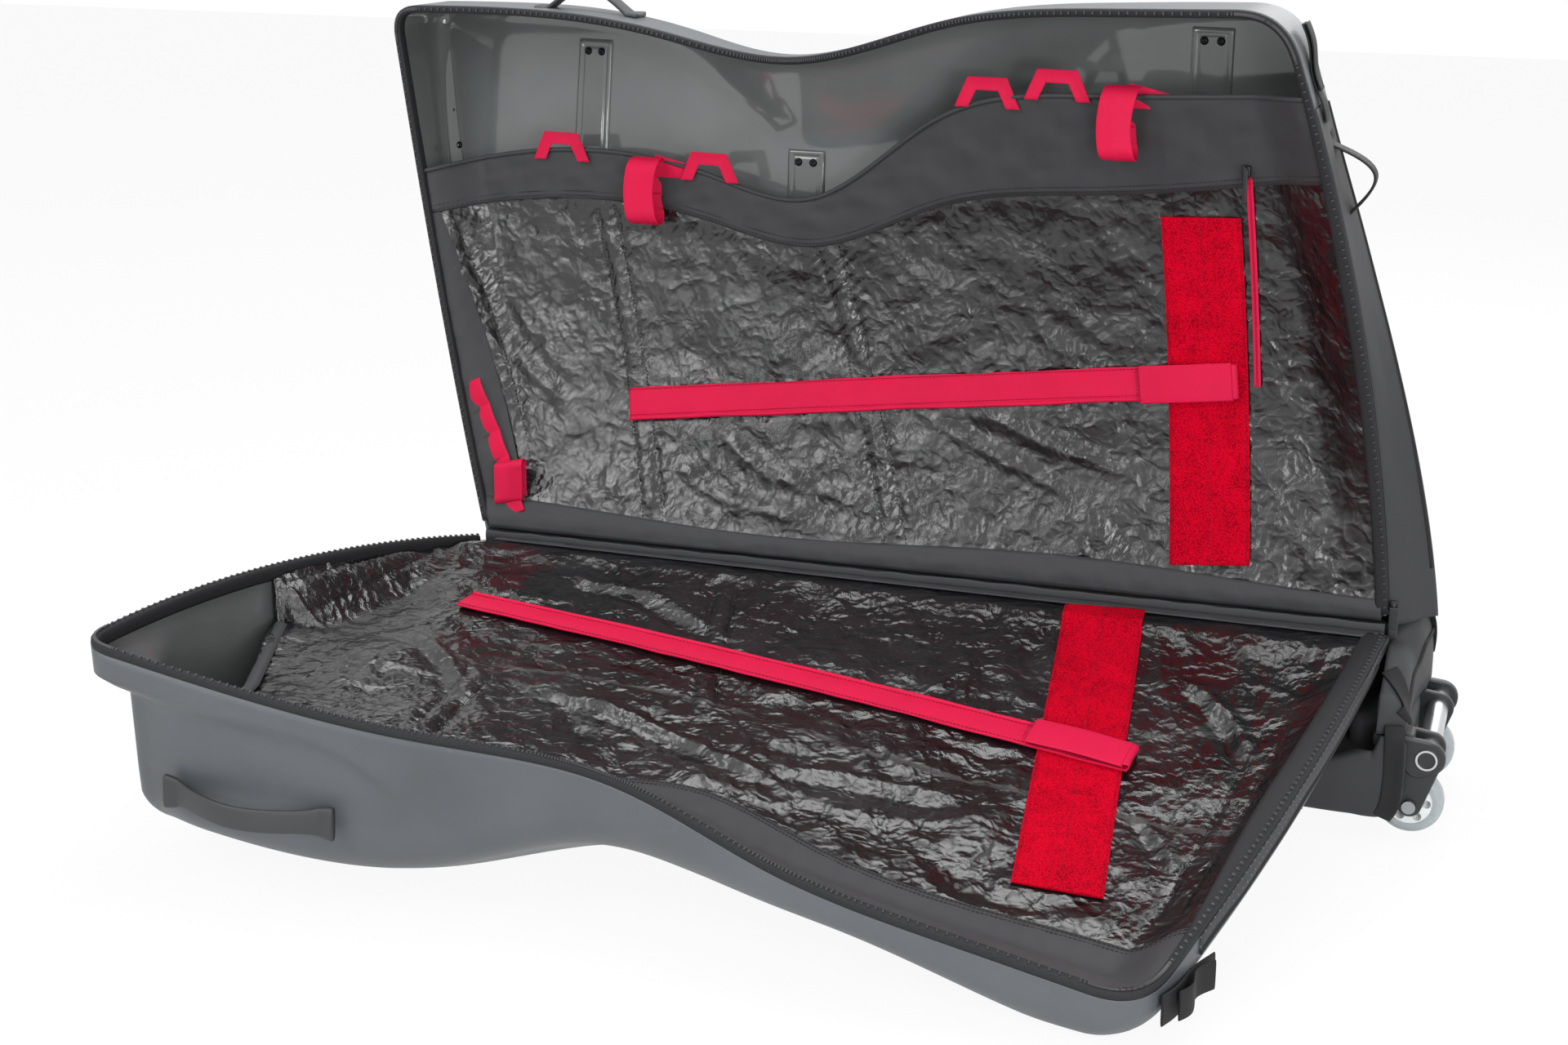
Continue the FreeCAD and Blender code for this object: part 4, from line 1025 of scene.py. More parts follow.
def webbing(name, colour, rib=3800.0):
    """Woven webbing: ribs across the band, a finer weave along it and paler worn crests."""
    made = Finish(name, Specular_IOR_Level=0.22)
    place = made.mapped((1.0, 1.0, 1.0), "UV")
    ribs = (made.axis(place, "X") * rib).sine() * 0.5 + 0.5
    fine = weave(made, rib * 1.4, rib * 1.1)
    cloud = made.noise(22.0, 4.0, 0.6)
    # Painted shade: darker tone in the grooves between the ribs, where the bump lies low
    shade = made.mix(ribs * 0.30 + cloud * 0.55, linear(toned(colour, 0.84)), linear(colour))
    bump = made.bump(ribs * 0.5 + fine * 0.5 + cloud * 0.8, 0.0006, 0.55)
    return made.feed(Base_Color=shade, Roughness=cloud * 0.15 + 0.52, Normal=bump)


def loop_pile(name, colour):
    """Loop pile: dense small loops, darker between them, with brushed patches."""
    made = Finish(name, Specular_IOR_Level=0.06)
    loops = made.cells(520.0)
    nap = made.noise(900.0, 3.0, 0.7)
    brushed = made.ramp(made.noise(28.0, 5.0, 0.7, 1.0), 0.35, 0.65)
    # Painted shade: darker in the hollows between the loops, from the same cells as the bump
    shade = made.mix(made.ramp(loops, 0.15, 0.75), linear(colour), linear(toned(colour, 0.62)))
    shade = made.mix(brushed * 0.35, shade, linear(np.minimum(1.0, toned(colour, 1.10, 0.02))))
    bump = made.bump(loops * -0.8 + nap * 0.6, 0.0014, 0.9)
    return made.feed(Base_Color=shade, Roughness=brushed * 0.10 + 0.80, Normal=bump)


def metal(name, colour, rough, brush=0.0):
    """Metal with fine turned or brushed marks and dull patches."""
    made = Finish(name, Metallic=1.0)
    marks = made.noise(1.0, 4.0, 0.6, 0.0, made.mapped((60.0, 1400.0 if brush else 60.0, 900.0)))
    dull = made.noise(30.0, 5.0, 0.7)
    shade = made.mix(dull, linear(colour), linear(toned(colour, 0.86)))
    bump = made.bump(marks, 0.0001, 0.3 + brush * 0.3)
    return made.feed(Base_Color=shade, Roughness=dull * 0.16 + marks * 0.10 + rough, Normal=bump)


def cast_tyre(name, colour):
    """Cast polyurethane: milky, half clear, with rolling marks and caught dust."""
    made = Finish(name, IOR=1.5, Subsurface_Weight=0.35, Subsurface_Scale=0.006,
                  Subsurface_Radius=(1.0, 1.0, 1.0))
    dust = made.ramp(made.noise(120.0, 6.0, 0.7), 0.45, 0.75)
    cloud = made.noise(25.0, 3.0)
    shade = made.mix(cloud * 0.6, linear(colour), linear(toned(colour, 0.88)))
    shade = made.mix(dust * 0.30, shade, linear((0.48, 0.47, 0.45)))
    bump = made.bump(made.noise(260.0, 3.0), 0.0003, 0.4)
    return made.feed(Base_Color=shade, Roughness=dust * 0.22 + 0.26, Normal=bump)


FINISHES = {}


def recipes():
    """Maker of each finish, and what it is given besides the name."""
    looks = bpy.context.scene.case_looks
    # Paler tarp tone for worn patches and for the painted highlight on the crinkle ridges
    worn_and_highlight_tarp = toned(looks.tarp, 1.4, 0.045)
    return {
        "shell_satin": (satin_plastic, looks.shell, 1500.0, 0.46),
        "shell_gloss": (gloss_plastic, looks.shell_inside),
        "front_tarp": (coated_tarp, looks.tarp, worn_and_highlight_tarp, 0.0050),
        "back_tarp": (coated_tarp, looks.tarp, worn_and_highlight_tarp, 0.0042),
        "nylon": (nylon, looks.nylon),
        "vented_nylon": (nylon, looks.nylon, 4200.0, True),
        "zip_tape": (webbing, toned(looks.nylon, 1.18), 3400.0),
        "zip_teeth": (satin_plastic, (0.20, 0.20, 0.21), 2600.0, 0.34),
        "red_webbing": (webbing, looks.webbing),
        "black_webbing": (webbing, looks.nylon, 3000.0),
        "red_pile": (loop_pile, looks.pile),
        "red_thread": (webbing, toned(looks.webbing, 0.62), 5200.0),
        "black_thread": (webbing, (0.16, 0.16, 0.165), 5200.0),
        "rubber": (satin_plastic, toned(looks.shell, 0.62), 1100.0, 0.52),
        "rib_plate": (gloss_plastic, toned(looks.shell_inside, 0.92)),
        "dark_screw": (metal, (0.16, 0.16, 0.17), 0.30),
        "moulded_black": (satin_plastic, (0.13, 0.135, 0.14), 1300.0, 0.44),
        "tyre": (cast_tyre, (0.70, 0.73, 0.74)),
        "hub": (satin_plastic, (0.84, 0.85, 0.85), 1700.0, 0.34),
        "steel": (metal, (0.66, 0.67, 0.68), 0.20),
        "aluminium": (metal, (0.84, 0.85, 0.86), 0.20, 1.0),
        "slider": (metal, (0.24, 0.24, 0.25), 0.30),
    }


def finish(name):
    """Finish of that name, made when it is first asked for."""
    if name not in FINISHES:
        maker, *given = recipes()[name]
        FINISHES[name] = maker(name, *given)
    return FINISHES[name]


# Shells and their fabric ends

FOOT_ROUND = 0.026
WALL_ROWS = 16
ARC_ROWS = 8
LEFT_STEP = 0.032
TOP_STEP = 0.011
SKIN_START = 0.0095
FLARE = 0.046
FLARE_LEAN = 0.10
FLARE_BEGINS = (0.36, 0.50)
FLARE_FADES = (-0.05, 0.58)
LEFT_STEP_RISE = (0.46, 0.57)
TOP_STEP_FADES = (-0.42, -0.25)
CORNER_STEP_FADES = (-0.66, -0.56)
STEP_BEFORE, STEP_AFTER = 0.010, 0.014
FOOT_SHARE, FOOT_LEAST = 0.55, 0.002
STEP_LINE = cubic(((-0.70, 0.046), (-0.59, 0.045), (-0.48, 0.038), (-0.37, 0.052), (-0.31, 0.088),
                   (-0.22, 0.104)))
END_PIPING_LOW = 0.05
END_PIPING_RADIUS = 0.0028
END_SLACK = 0.0014
END_WAVE = 0.09
END_CLOTH = 0.0022


def step_inset(half):
    """How far the lower wall stands in from the outline, round the loop, and how deep the step lies."""
    x, z = LOOP.T
    place = np.arange(len(LOOP))
    left = smoothstep(*LEFT_STEP_RISE, z) * (place < UP - 1)
    on_top = (place >= UP - 1) & (place < UP + ALONG - 2)
    top = on_top * (1 - smoothstep(*TOP_STEP_FADES, x))
    corner = on_top * (1 - smoothstep(*CORNER_STEP_FADES, x))
    inset = LEFT_STEP * left + top * (TOP_STEP + (LEFT_STEP - TOP_STEP) * corner)
    return inset * (half == FRONT), STEP_LINE(x)


def flare(half, x, z):
    """The back half's wheel end leans out towards its outer face, most at the hinge."""
    out = FLARE * (half == BACK) * smoothstep(*FLARE_BEGINS, x + FLARE_LEAN * z)
    return out * (1 - smoothstep(*FLARE_FADES, z))


def shell_surface(half):
    """Walls from the zip band to the rounded foot, and the outer face between the feet."""
    x, z = LOOP.T
    depth = half * (face(half, x, z) - rim(x, z))
    radius = np.clip((depth - SKIN_START) * FOOT_SHARE, FOOT_LEAST, FOOT_ROUND)
    inset, step_at = step_inset(half)
    lean = flare(half, x, z)
    rows = []

    def row(away, down, share, at_face=False):
        place = LOOP + DRAWN_IN * away[:, None]
        foot = face(half, place[:, 0], place[:, 1])
        y = foot - half * down if at_face else rim(x, z) + half * down
        return to_world(half, place[:, 0] + lean * share, y, place[:, 1])

    for share in np.linspace(0, 1, WALL_ROWS):
        down = SKIN_START + share * (depth - radius - SKIN_START)
        stepped = smoothstep(step_at - STEP_BEFORE, step_at + STEP_AFTER, down)
        rows.append(row(inset * stepped, down, share))
    for angle in np.linspace(0, math.pi / 2, ARC_ROWS)[1:]:
        rows.append(row(inset + radius * (1 - math.cos(angle)), radius * (1 - math.sin(angle)), 1.0, True))
    rows = np.stack(rows, axis=1)
    walls = np.concatenate([rows, rows[:1]])
    edge = LOOP + DRAWN_IN * (inset + radius)[:, None]
    flat_x, flat_z, lean = np.moveaxis(coons(np.column_stack([edge, lean])), -1, 0)
    return walls, to_world(half, flat_x + lean, face(half, flat_x, flat_z), flat_z)


def coons(loop):
    """Patch inside a loop of four sides: sum of both rulings less the corners' plane."""
    loop = np.vstack([loop, loop[:1]])
    cuts = np.cumsum([0, UP - 1, ALONG - 1, UP - 1, ALONG - 1])
    left, high, right, low = [loop[a:b + 1] for a, b in zip(cuts, cuts[1:])]
    low, right = low[::-1], right[::-1]
    s = np.linspace(0, 1, len(low))[:, None, None]
    t = np.linspace(0, 1, len(left))[None, :, None]
    ruled = (1 - t) * low[:, None] + t * high[:, None] + (1 - s) * left[None] + s * right[None]
    corners = (1 - s) * (1 - t) * low[0] + s * (1 - t) * low[-1] + (1 - s) * t * high[0] + s * t * high[-1]
    return ruled - corners


def fabric_range():
    """First and last place round the loop where the wall is fabric: wheel end and hinge side."""
    start = UP + ALONG - 2
    below = np.nonzero(LOOP[start:, 1] < SHELL_END_RISE)[0][0]
    return start + below, len(LOOP)


def cut_of(*grids):
    """Cut of a sheet before it hangs in folds: its smooth surfaces laid side by side.

    Longest way of any of them, the sum of their widths, and the sum of their areas.
    """
    long, wide, area = 0.0, 0.0, 0.0
    for points in grids:
        ways = [np.linalg.norm(np.diff(points, axis=k), axis=-1).sum(axis=k).max() for k in (0, 1)]
        long, wide = max(long, max(ways)), wide + min(ways)
        crossed = np.cross(points[1:, 1:] - points[:-1, :-1], points[:-1, 1:] - points[1:, :-1])
        area += np.linalg.norm(crossed, axis=-1).sum() / 2
    return {"flat": (wide, long), "area": area}


def smooth_cloth(half, x, z):
    """Liner face at these places without its folds."""
    return to_world(half, x, cloth(half, x, z), z)


def make_shell(half):
    """Moulded skin with its lip, the fabric end with slack ripples, and the piping along its seam."""
    walls, floor = shell_surface(half)
    first, last = fabric_range()
    side, body = SIDES[half], BODIES[half]
    hard = walls[:first + 1]
    lip = walls[first:last + 1, WALL_ROWS - 1:]
    mesh = to_mesh(side + "_shell_skin", [hard, lip, floor], toward=-open_side(half))
    orient(mesh)
    skin = add_piece(mesh, body, "shell_plastic", ["shell_satin", "shell_gloss"], [side + "_shell"])
    thicken(skin, bpy.context.scene.case_sizes.shell_wall, -1, 1)
    soft = walls[first:last + 1, :WALL_ROWS]
    cut = cut_of(soft)
    s = np.linspace(0, 1, soft.shape[0])[:, None]
    t = np.linspace(0, 1, soft.shape[1])[None]
    slack = END_SLACK * ripples(s * 1.4, t * 0.1, END_WAVE, 77 + half)
    slack = slack * np.sin(math.pi * t) * np.sin(math.pi * s) ** 0.3
    away = np.concatenate([INWARD, INWARD[:1]])[first:last + 1]
    push = turned(half, away[:, 0], 0.0, away[:, 1])
    soft = soft - push[:, None] * slack[..., None]
    seam = int((np.vstack([LOOP, LOOP[:1]])[first:last + 1, 1] > END_PIPING_LOW).sum())
    edge = ribbon(soft[:seam, -2], -push[:seam], round_profile(END_PIPING_RADIUS))
    add_solid(side + "_end_piping", [edge], body, "case_fabric", "black_webbing")
    end = add_piece(to_mesh(side + "_end_fabric", [soft]), body, "case_fabric",
                    ["nylon" if half == BACK else "vented_nylon"], [side + "_side_panel"])
    thicken(end, END_CLOTH, 0)
    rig.sheet(end, held="stretched", rests_on=[skin.name], **cut)


def orient(mesh):
    """Faces of an open skin made to agree with each other, and turned away from its middle."""
    work = bmesh.new()
    work.from_mesh(mesh)
    bmesh.ops.recalc_face_normals(work, faces=work.faces)
    middle = sum((v.co for v in work.verts), Vector()) / len(work.verts)
    facing = sum((f.calc_center_median() - middle).dot(f.normal) * f.calc_area() for f in work.faces)
    if facing < 0:
        bmesh.ops.reverse_faces(work, faces=work.faces)
    work.to_mesh(mesh)
    work.free()
    mesh.polygons.foreach_set("use_smooth", np.ones(len(mesh.polygons), bool))


# Zip band and teeth

BAND_WIDTH = 0.0085
BAND_BROAD = {BACK: 0.0060, FRONT: 0.0165}
BAND_WIDENS = (0.40, 0.47)
BAND_PROFILE = ((0, .0092), (0, .0065), (.06, .0036), (.22, .0024), (.5, .0022), (.8, .0025),
                (.96, .0042), (1.0, .0080), (.97, .0150), (.85, .0180), (.48, .0180), (.45, .0104))
TOOTH_INSET = 0.0040
TOOTH_SINK = 0.00125
TOOTH_SHARE = 0.30
TOOTH_HALF_WIDTH = 0.0017
TOOTH_HALF_HEIGHT = 0.0008
TOOTH_SHARP = 40


def rim_path(inset=0.0):
    """Outline from the left foot over the top to the right foot, set in, with its inward normals."""
    count = 2 * (UP - 1) + ALONG - 1
    line = np.vstack([LOOP[:count], SIDE_LINES[2][-1:]])
    normal = np.vstack([INWARD[:count], INWARD[count - 1:count]])
    keep = line[:, 1] > BAND_START
    return line[keep] + normal[keep] * inset, normal[keep]


def make_zip_band(half):
    """Band profile carried round the rim: broad tape at the wheel end, narrow elsewhere."""
    line, normal = rim_path()
    width = BAND_WIDTH + BAND_BROAD[half] * smoothstep(*BAND_WIDENS, line[:, 0])
    rows = []
    for across, down in BAND_PROFILE:
        x, z = (line + normal * (width * across)[:, None]).T
        rows.append(to_world(half, x, rim(x, z) + half * down, z))
    grid = capped(np.stack(rows + rows[:1], axis=1))
    side = SIDES[half]
    add_solid(side + "_rim_tape", [grid], BODIES[half], "zip_band", "zip_tape", [side + "_zip_band"])
    add_teeth(half)


def add_teeth(half):
    """Zip teeth in an even row on the band, just in from its outer edge."""
    pitch = bpy.context.scene.case_sizes.tooth_pitch
    line, normal = rim_path(TOOTH_INSET)
    even = resampled(np.column_stack([line, normal]), int(lengths(line)[-1] / pitch))
    x, z = even[:, :2].T
    inward = unit(even[:, 2:])
    centre = to_world(half, x, rim(x, z) + half * TOOTH_SINK, z)
    across = turned(half, inward[:, 0], 0.0, inward[:, 1]) * TOOTH_HALF_WIDTH
    along = unit(np.gradient(centre, axis=0)) * pitch * TOOTH_SHARE
    up = np.broadcast_to(open_side(half), centre.shape) * TOOTH_HALF_HEIGHT
    side = SIDES[half]
    add_piece(blocks(side + "_zip_teeth", centre, along, across, up), BODIES[half], "zip_teeth",
              ["zip_teeth"], [side + "_zip_chain"], TOOTH_SHARP)


HINGE_DEPTHS = np.array([0.018, 0.012, 0.006, 0.002])
HINGE_LIFT = 0.0015
HINGE_CREST = 0.0035
HINGE_WAVES = 0.0006


def make_hinge():
    """Fabric fold along the hinge: out of the back half's wall, round the hinge line, into the front's."""
    end = HALF_LENGTH - 0.004
    back = to_world(BACK, 0.0, HINGE_DEPTHS, HINGE_LIFT)[:, 1:]
    front = to_world(FRONT, 0.0, -HINGE_DEPTHS[::-1], HINGE_LIFT)[:, 1:]
    yz = np.vstack([back, (0.0, HINGE_HEIGHT + HINGE_CREST), front])
    yz = cubic(np.column_stack([np.arange(len(yz)), yz]))(np.linspace(0, len(yz) - 1, 33))
    x = np.linspace(-end, end, 260)
    waves = HINGE_WAVES * ripples(x[:, None], np.linspace(0, 0.03, 33)[None], 0.05, 3)
    grid = np.stack(np.broadcast_arrays(x[:, None], yz[None, :, 0], yz[None, :, 1] + waves), axis=-1)
    mesh = to_mesh("hinge_fold", [grid], toward=(0, -0.5, 1))
    fold = add_piece(mesh, None, "case_fabric", ["nylon"], ["back_hinge_tape", "front_hinge_tape"],
                     blend=("back_half", "front_half",
                            (0, 0.004, HINGE_HEIGHT), (0, -0.003, HINGE_HEIGHT - 0.004)))
    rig.sheet(fold, (0.040, 2 * end), "folded", ["back_shell_skin", "front_shell_skin"])


# Liners, borders and stitching

LINER_HEM = 0.008
LINER_RIDE = 0.0006
LINER_CLOTH = 0.0008
FITTING_ROUNDS = 12


def liner_grid(half, columns, rows):
    """Liner places: across between the ends, up from the hem to the top line."""
    s = np.linspace(0, 1, columns)[:, None]
    t = np.linspace(0, 1, rows)[None]
    x = np.broadcast_to(-0.55 + 1.0 * s, (columns, rows))
    for _ in range(FITTING_ROUNDS):
        high = BACK_TOP(x) if half == BACK else top_wall(x) - LINER_EDGE
        z = LINER_HEM + t * (high - LINER_HEM)
        x = cloth_left(half, z) + s * (cloth_right(z) - cloth_left(half, z))
    return x, z


def make_liner(half):
    """Liner face with its folds, from the hem at the hinge to the top line."""
    side = SIDES[half]
    x, z = liner_grid(half, 300, 150)
    points = to_world(half, x, cloth(half, x, z) - half * (wrinkles(half, x, z) - LINER_RIDE), z)
    mesh = to_mesh(side + "_tarp", [points], toward=open_side(half))
    liner = add_piece(mesh, BODIES[half], "liner_tarp", [side + "_tarp"], [side + "_liner"])
    thicken(liner, LINER_CLOTH, -1)
    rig.sheet(liner, held="hung" if half == BACK else "draped", rests_on=[side + "_rim_tape"],
             **cut_of(smooth_cloth(half, x, z)))


def strip(half, low, high, left, right, lift, wave, seed, columns, rows):
    """Sewn strip on a liner between two lines over x, with soft wrinkles and pinned edges."""
    s = np.linspace(0, 1, columns)[:, None]
    t = np.linspace(0, 1, rows)[None]
    start, end = left(np.array(0.3)), right(np.array(0.3))
    x = np.broadcast_to(start + s * (end - start), (columns, rows))
    for _ in range(FITTING_ROUNDS):
        z = low(x) + t * (high(x) - low(x))
        x = left(z) + s * (right(z) - left(z))
    pin = np.sin(math.pi * t) ** 0.5
    uneven = 1 + ripples(x, z, 0.055, seed) * 0.6 + ripples(x, z, 0.021, seed + 1) * 0.3
    return on_cloth(half, x, z, lift + pin * wave * uneven), x, z


def level(height):
    """Line over x at one height."""
    return lambda x: height + 0 * x


BORDER_INSET = 0.001
BORDER_CLOTH = 0.0009
BORDER_LIFT = 0.0016
BORDER_STITCHES = (0.004, 0.009)
BORDER_STITCH_LIFT = 0.0034
CHANNEL_STITCH_LIFT = 0.0004
PIPING_LIFT, PIPING_RADIUS = 0.0030, 0.0022
LEFT_PANEL_EDGE = ((0.01, 0.40), (-0.462, -0.622))
FRONT_HEM_RISE = (0.345, 0.56)
FRONT_HEM = ((0.016, 0.0015), (0.004, 0.0020), (-0.001, -0.004), (-0.0015, -0.045))


def make_border(half):
    """Matt border with its piping or hem, the band at the hinge, the left end's panel and the stitching."""
    side = SIDES[half]

    def left(z):
        return cloth_left(half, z) + BORDER_INSET

    def right(z):
        return cloth_right(z) - BORDER_INSET

    if half == BACK:
        strips = [
            strip(half, back_border_low, lambda x: BACK_TOP(x) + 0.001, left, right,
                  BORDER_LIFT, 0.0016, 51, 320, 18),
            strip(half, level(0.02), lambda x: back_border_low(x) + 0.004, left,
                  lambda z: np.interp(z, *LEFT_PANEL_EDGE), 0.0012, 0.0011, 61, 30, 120),
            strip(half, level(0.006), lambda x: 0.034 + 0.006 * np.sin(x * 9), left, right,
                  BORDER_LIFT, 0.0012, 71, 300, 8),
        ]
        top_x, top_z = (rows[:, -1] for rows in strips[0][1:])
        edging = ribbon(on_cloth(half, top_x, top_z, PIPING_LIFT), (0.0, 0.3, 0.9),
                        round_profile(PIPING_RADIUS))
    else:
        strips = [
            strip(half, FRONT_BORDER_LOW, lambda x: top_wall(x) - LINER_EDGE - 0.001,
                  lambda z: np.maximum(left(z), FRONT_BORDER_LEFT), right, BORDER_LIFT, 0.0014, 81, 260, 14),
            strip(half, level(0.006), level(0.022), left, right, BORDER_LIFT, 0.0010, 91, 300, 6),
        ]
        rise = np.linspace(*FRONT_HEM_RISE, 60)
        edging = np.stack([on_cloth(half, cloth_left(half, rise) + shift, rise, lift)
                           for shift, lift in FRONT_HEM], axis=1)
    grids = [grid for grid, _, _ in strips] + [edging]
    cut = cut_of(*[smooth_cloth(half, x, z) for _, x, z in strips], edging)
    mesh = to_mesh(side + "_border", grids, toward=open_side(half))
    border = add_piece(mesh, BODIES[half], "case_fabric", ["nylon"], [side + "_liner_border"])
    thicken(border, BORDER_CLOTH, 0)
    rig.sheet(border, held="stretched", rests_on=[side + "_tarp"], **cut)
    low = np.column_stack([rows[:, 0] for rows in strips[0][1:]])
    x, z = resampled(low, int(lengths(low)[-1] / STITCH_PITCH)).T
    rows = [curve_stitches(half, x, z + up, BORDER_STITCH_LIFT) for up in BORDER_STITCHES]
    for start, end in CHANNELS[half]:
        for offset in (-CHANNEL_HALF, CHANNEL_HALF):
            rows.append(stitch_row(half, start, end, CHANNEL_STITCH_LIFT, offset=offset))
    add_stitches(side + "_stitching", rows, half, "black_thread", "case_fabric")


# Straps, pile panels, tapes and loops

STRAPS = {BACK: BACK_STRAP, FRONT: FRONT_STRAP}
PILES = {BACK: BACK_PILE, FRONT: FRONT_PILE}
PILE_PROFILE = band_profile(0.086, 0.0028, 0, 40)
PILE_LIFT, PILE_STITCH_LIFT = 0.0020, 0.0036
STRAP_PROFILE = band_profile(0.037, 0.0030, 0.0042, 28)
STRAP_LIFT, STRAP_STITCH_LIFT = 0.0046, 0.0066
WELT_DROP, WELT_RADIUS, WELT_LIFT = 0.0165, 0.0024, 0.0052
TAB_LIFT, TAB_SWELL, TAB_STITCH_LIFT = 0.0104, 0.0012, 0.0118
TAB_LENGTH = 0.104
TAB_NOSE = 0.004
BAND = 0.0022


def add_red(name, grids, half, replaced):
    """Closed piece of red webbing."""
    return add_solid(name, grids, BODIES[half], "red_webbing", "red_webbing", replaced)


def add_black(name, grids, half, replaced=()):
    """Closed piece of black webbing."""
    return add_solid(name, grids, BODIES[half], "black_webbing", "black_webbing", replaced)


def strap_sway(t):
    """Slight waver of a strap along its way."""
    return 0.0005 * np.sin(t * 17) + 0.0003 * np.sin(t * 41 + 1)


def make_straps(half):
    """Padded strap with a welt along its lower edge, its folded end, the pile panel and red stitching."""
    side = SIDES[half]
    start, end = STRAPS[half]
    pile = laid_band(half, *PILES[half], PILE_PROFILE, PILE_LIFT, 160)
    pile = pile + fuzz(pile, 0.0004, 7 + half, 0.035)
    panel = add_solid(side + "_pile", [pile], BODIES[half], "red_pile", "red_pile", [side + "_pile_panel"])
    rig.sheet(panel, (0.088, math.dist(*PILES[half]) + 0.02), "laid", [side + "_tarp"])
    strap = laid_band(half, start, end, STRAP_PROFILE, STRAP_LIFT, 220, strap_sway)
    strap = strap + fuzz(strap, 0.0005, 17 + half, 0.05)
    way = heading(start, end)
    down = np.array([way[1], -way[0]]) * WELT_DROP
    welt = laid_band(half, start + down, end + down, round_profile(WELT_RADIUS), WELT_LIFT, 160, strap_sway)
    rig.padded(add_red(side + "_strap", [strap, welt], half, [side + "_long_strap"]), 0.35)
    keeper, nose = end - way * TAB_LENGTH, end - way * TAB_NOSE
    t = np.linspace(0, 1, 60)
    raised = TAB_LIFT + TAB_SWELL * np.sin(math.pi * t) ** 2
    x, z = line_at(keeper, nose, t)
    path = on_cloth(half, x, z, raised)
    across = on_cloth(half, x + way[1] * SIDE_STEP, z - way[0] * SIDE_STEP, raised) - path
    tab = ribbon(path, across[30], band_profile(0.041, BAND))
    fold = np.linspace(-0.5, 0.5, 17) * math.pi
    x, z = nose[:, None] + way[:, None] * 0.005 * np.cos(fold)
    path = on_cloth(half, x, z, 0.0082 + 0.0032 * np.sin(fold))
    turn = ribbon(path, across[30], band_profile(0.037, BAND))
    add_red(side + "_strap_tab", [tab, turn], half, [side + "_strap_end"])
    rows = [stitch_row(half, start, end, STRAP_STITCH_LIFT, offset=offset) for offset in (-0.0120, 0.0165)]
    rows += [stitch_row(half, *PILES[half], PILE_STITCH_LIFT, offset=offset)
             for offset in (-0.001, -0.040, 0.040)]
    rows.append(stitch_row(half, keeper - down, keeper + down, TAB_STITCH_LIFT, offset=-0.003))
    add_stitches(side + "_red_stitching", rows, half, "red_thread", "red_webbing")


def fuzz(grid, height, seed, wave):
    """Small unevenness along Y and Z for a grid of points."""
    bumps = ripples(grid[..., 0], grid[..., 2] + grid[..., 1], wave, seed) * height
    return np.stack([np.zeros_like(bumps), -bumps * 0.7, bumps * 0.7], axis=-1)


TACKS = 6
TACK_HALF = 0.010


def make_pocket_zip():
    """Red zip tape with its tooth line, and the daisy chain with its bar tacks."""
    tape = laid_band(BACK, *POCKET_ZIP, band_profile(0.0072, 0.0014), 0.0026, 140)
    add_red("pocket_zip_red", [tape], BACK, ["pocket_zip_tape"])
    rows = [stitch_row(BACK, *POCKET_ZIP, 0.0036, 0.0026, offset) for offset in (-0.0006, 0.0006)]
    add_stitches("pocket_zip_coil", rows, BACK, "red_thread", "red_webbing")
    t = np.linspace(0, 1, 150)
    start, end = DAISY_CHAIN
    lift = 0.0020 + 0.0024 * np.abs(np.sin(t * math.pi * (TACKS - 1))) ** 0.7
    path = on_cloth(BACK, *line_at(start, end, t), lift)
    chain = ribbon(path, turned(BACK, 0.9, 0.0, 0.45), band_profile(0.024, BAND))
    add_red("daisy_webbing", [chain], BACK, ["daisy_chain"])
    way = heading(start, end)
    side = np.array([-way[1], way[0]]) * TACK_HALF
    tacks = [start + way * at for at in np.linspace(0.004, math.dist(start, end) - 0.004, TACKS)]
    rows = [stitch_row(BACK, tack - side, tack + side, 0.0034, 0.0016) for tack in tacks]
    add_stitches("daisy_bar_tacks", rows, BACK, "red_thread", "red_webbing")


RING_LAP = 0.0024


def ring_path(low, high, depth, count=72):
    """Upright flat ring in the (out, up) plane: straight sides with round turns, and a lapped end."""
    radius = depth / 2
    straight, turn = high - low - depth, math.pi * radius
    total = 2 * straight + 2 * turn
    way = np.linspace(0, 1, count) * total * 1.10
    lap = np.where(way > total, RING_LAP, 0.0)
    way = np.mod(way, total)
    over = (way - straight) / radius
    under = (way - 2 * straight - turn) / radius
    part = [way < straight, way < straight + turn, way < 2 * straight + turn]
    out = np.select(part, [0.0 * way, radius - radius * np.cos(over), depth + 0.0 * way],
                    radius + radius * np.cos(under))
    up = np.select(part, [low + radius + way, high - radius + radius * np.sin(over),
                          high - radius - (way - straight - turn)], low + radius - radius * np.sin(under))
    return out + lap, up


HANGING_LOOPS = (("hanging_loop_left", -0.344, 0.438), ("hanging_loop_right", 0.215, 0.549))
TRAPEZOID_OUTER = ((-0.0365, -0.0045), (-0.022, 0.028), (0.022, 0.028), (0.0365, -0.0045))
TRAPEZOID_INNER = ((-0.0215, -0.0045), (-0.0125, 0.0140), (0.0125, 0.0140), (0.0215, -0.0045))
TRAPEZOID_PLACES = ((-0.461, 0.431), (-0.270, 0.419), (0.065, 0.522), (0.143, 0.534))
HANG_LENGTH, HANG_DEPTH, HANG_OFF = 0.075, 0.029, 0.0045
TAIL_LENGTH, TAIL_WIDTH, TAIL_TAPER = 0.052, 0.026, 0.45
DAISY_LOOP_X = -0.492
LOOP_WIDTH = 0.036


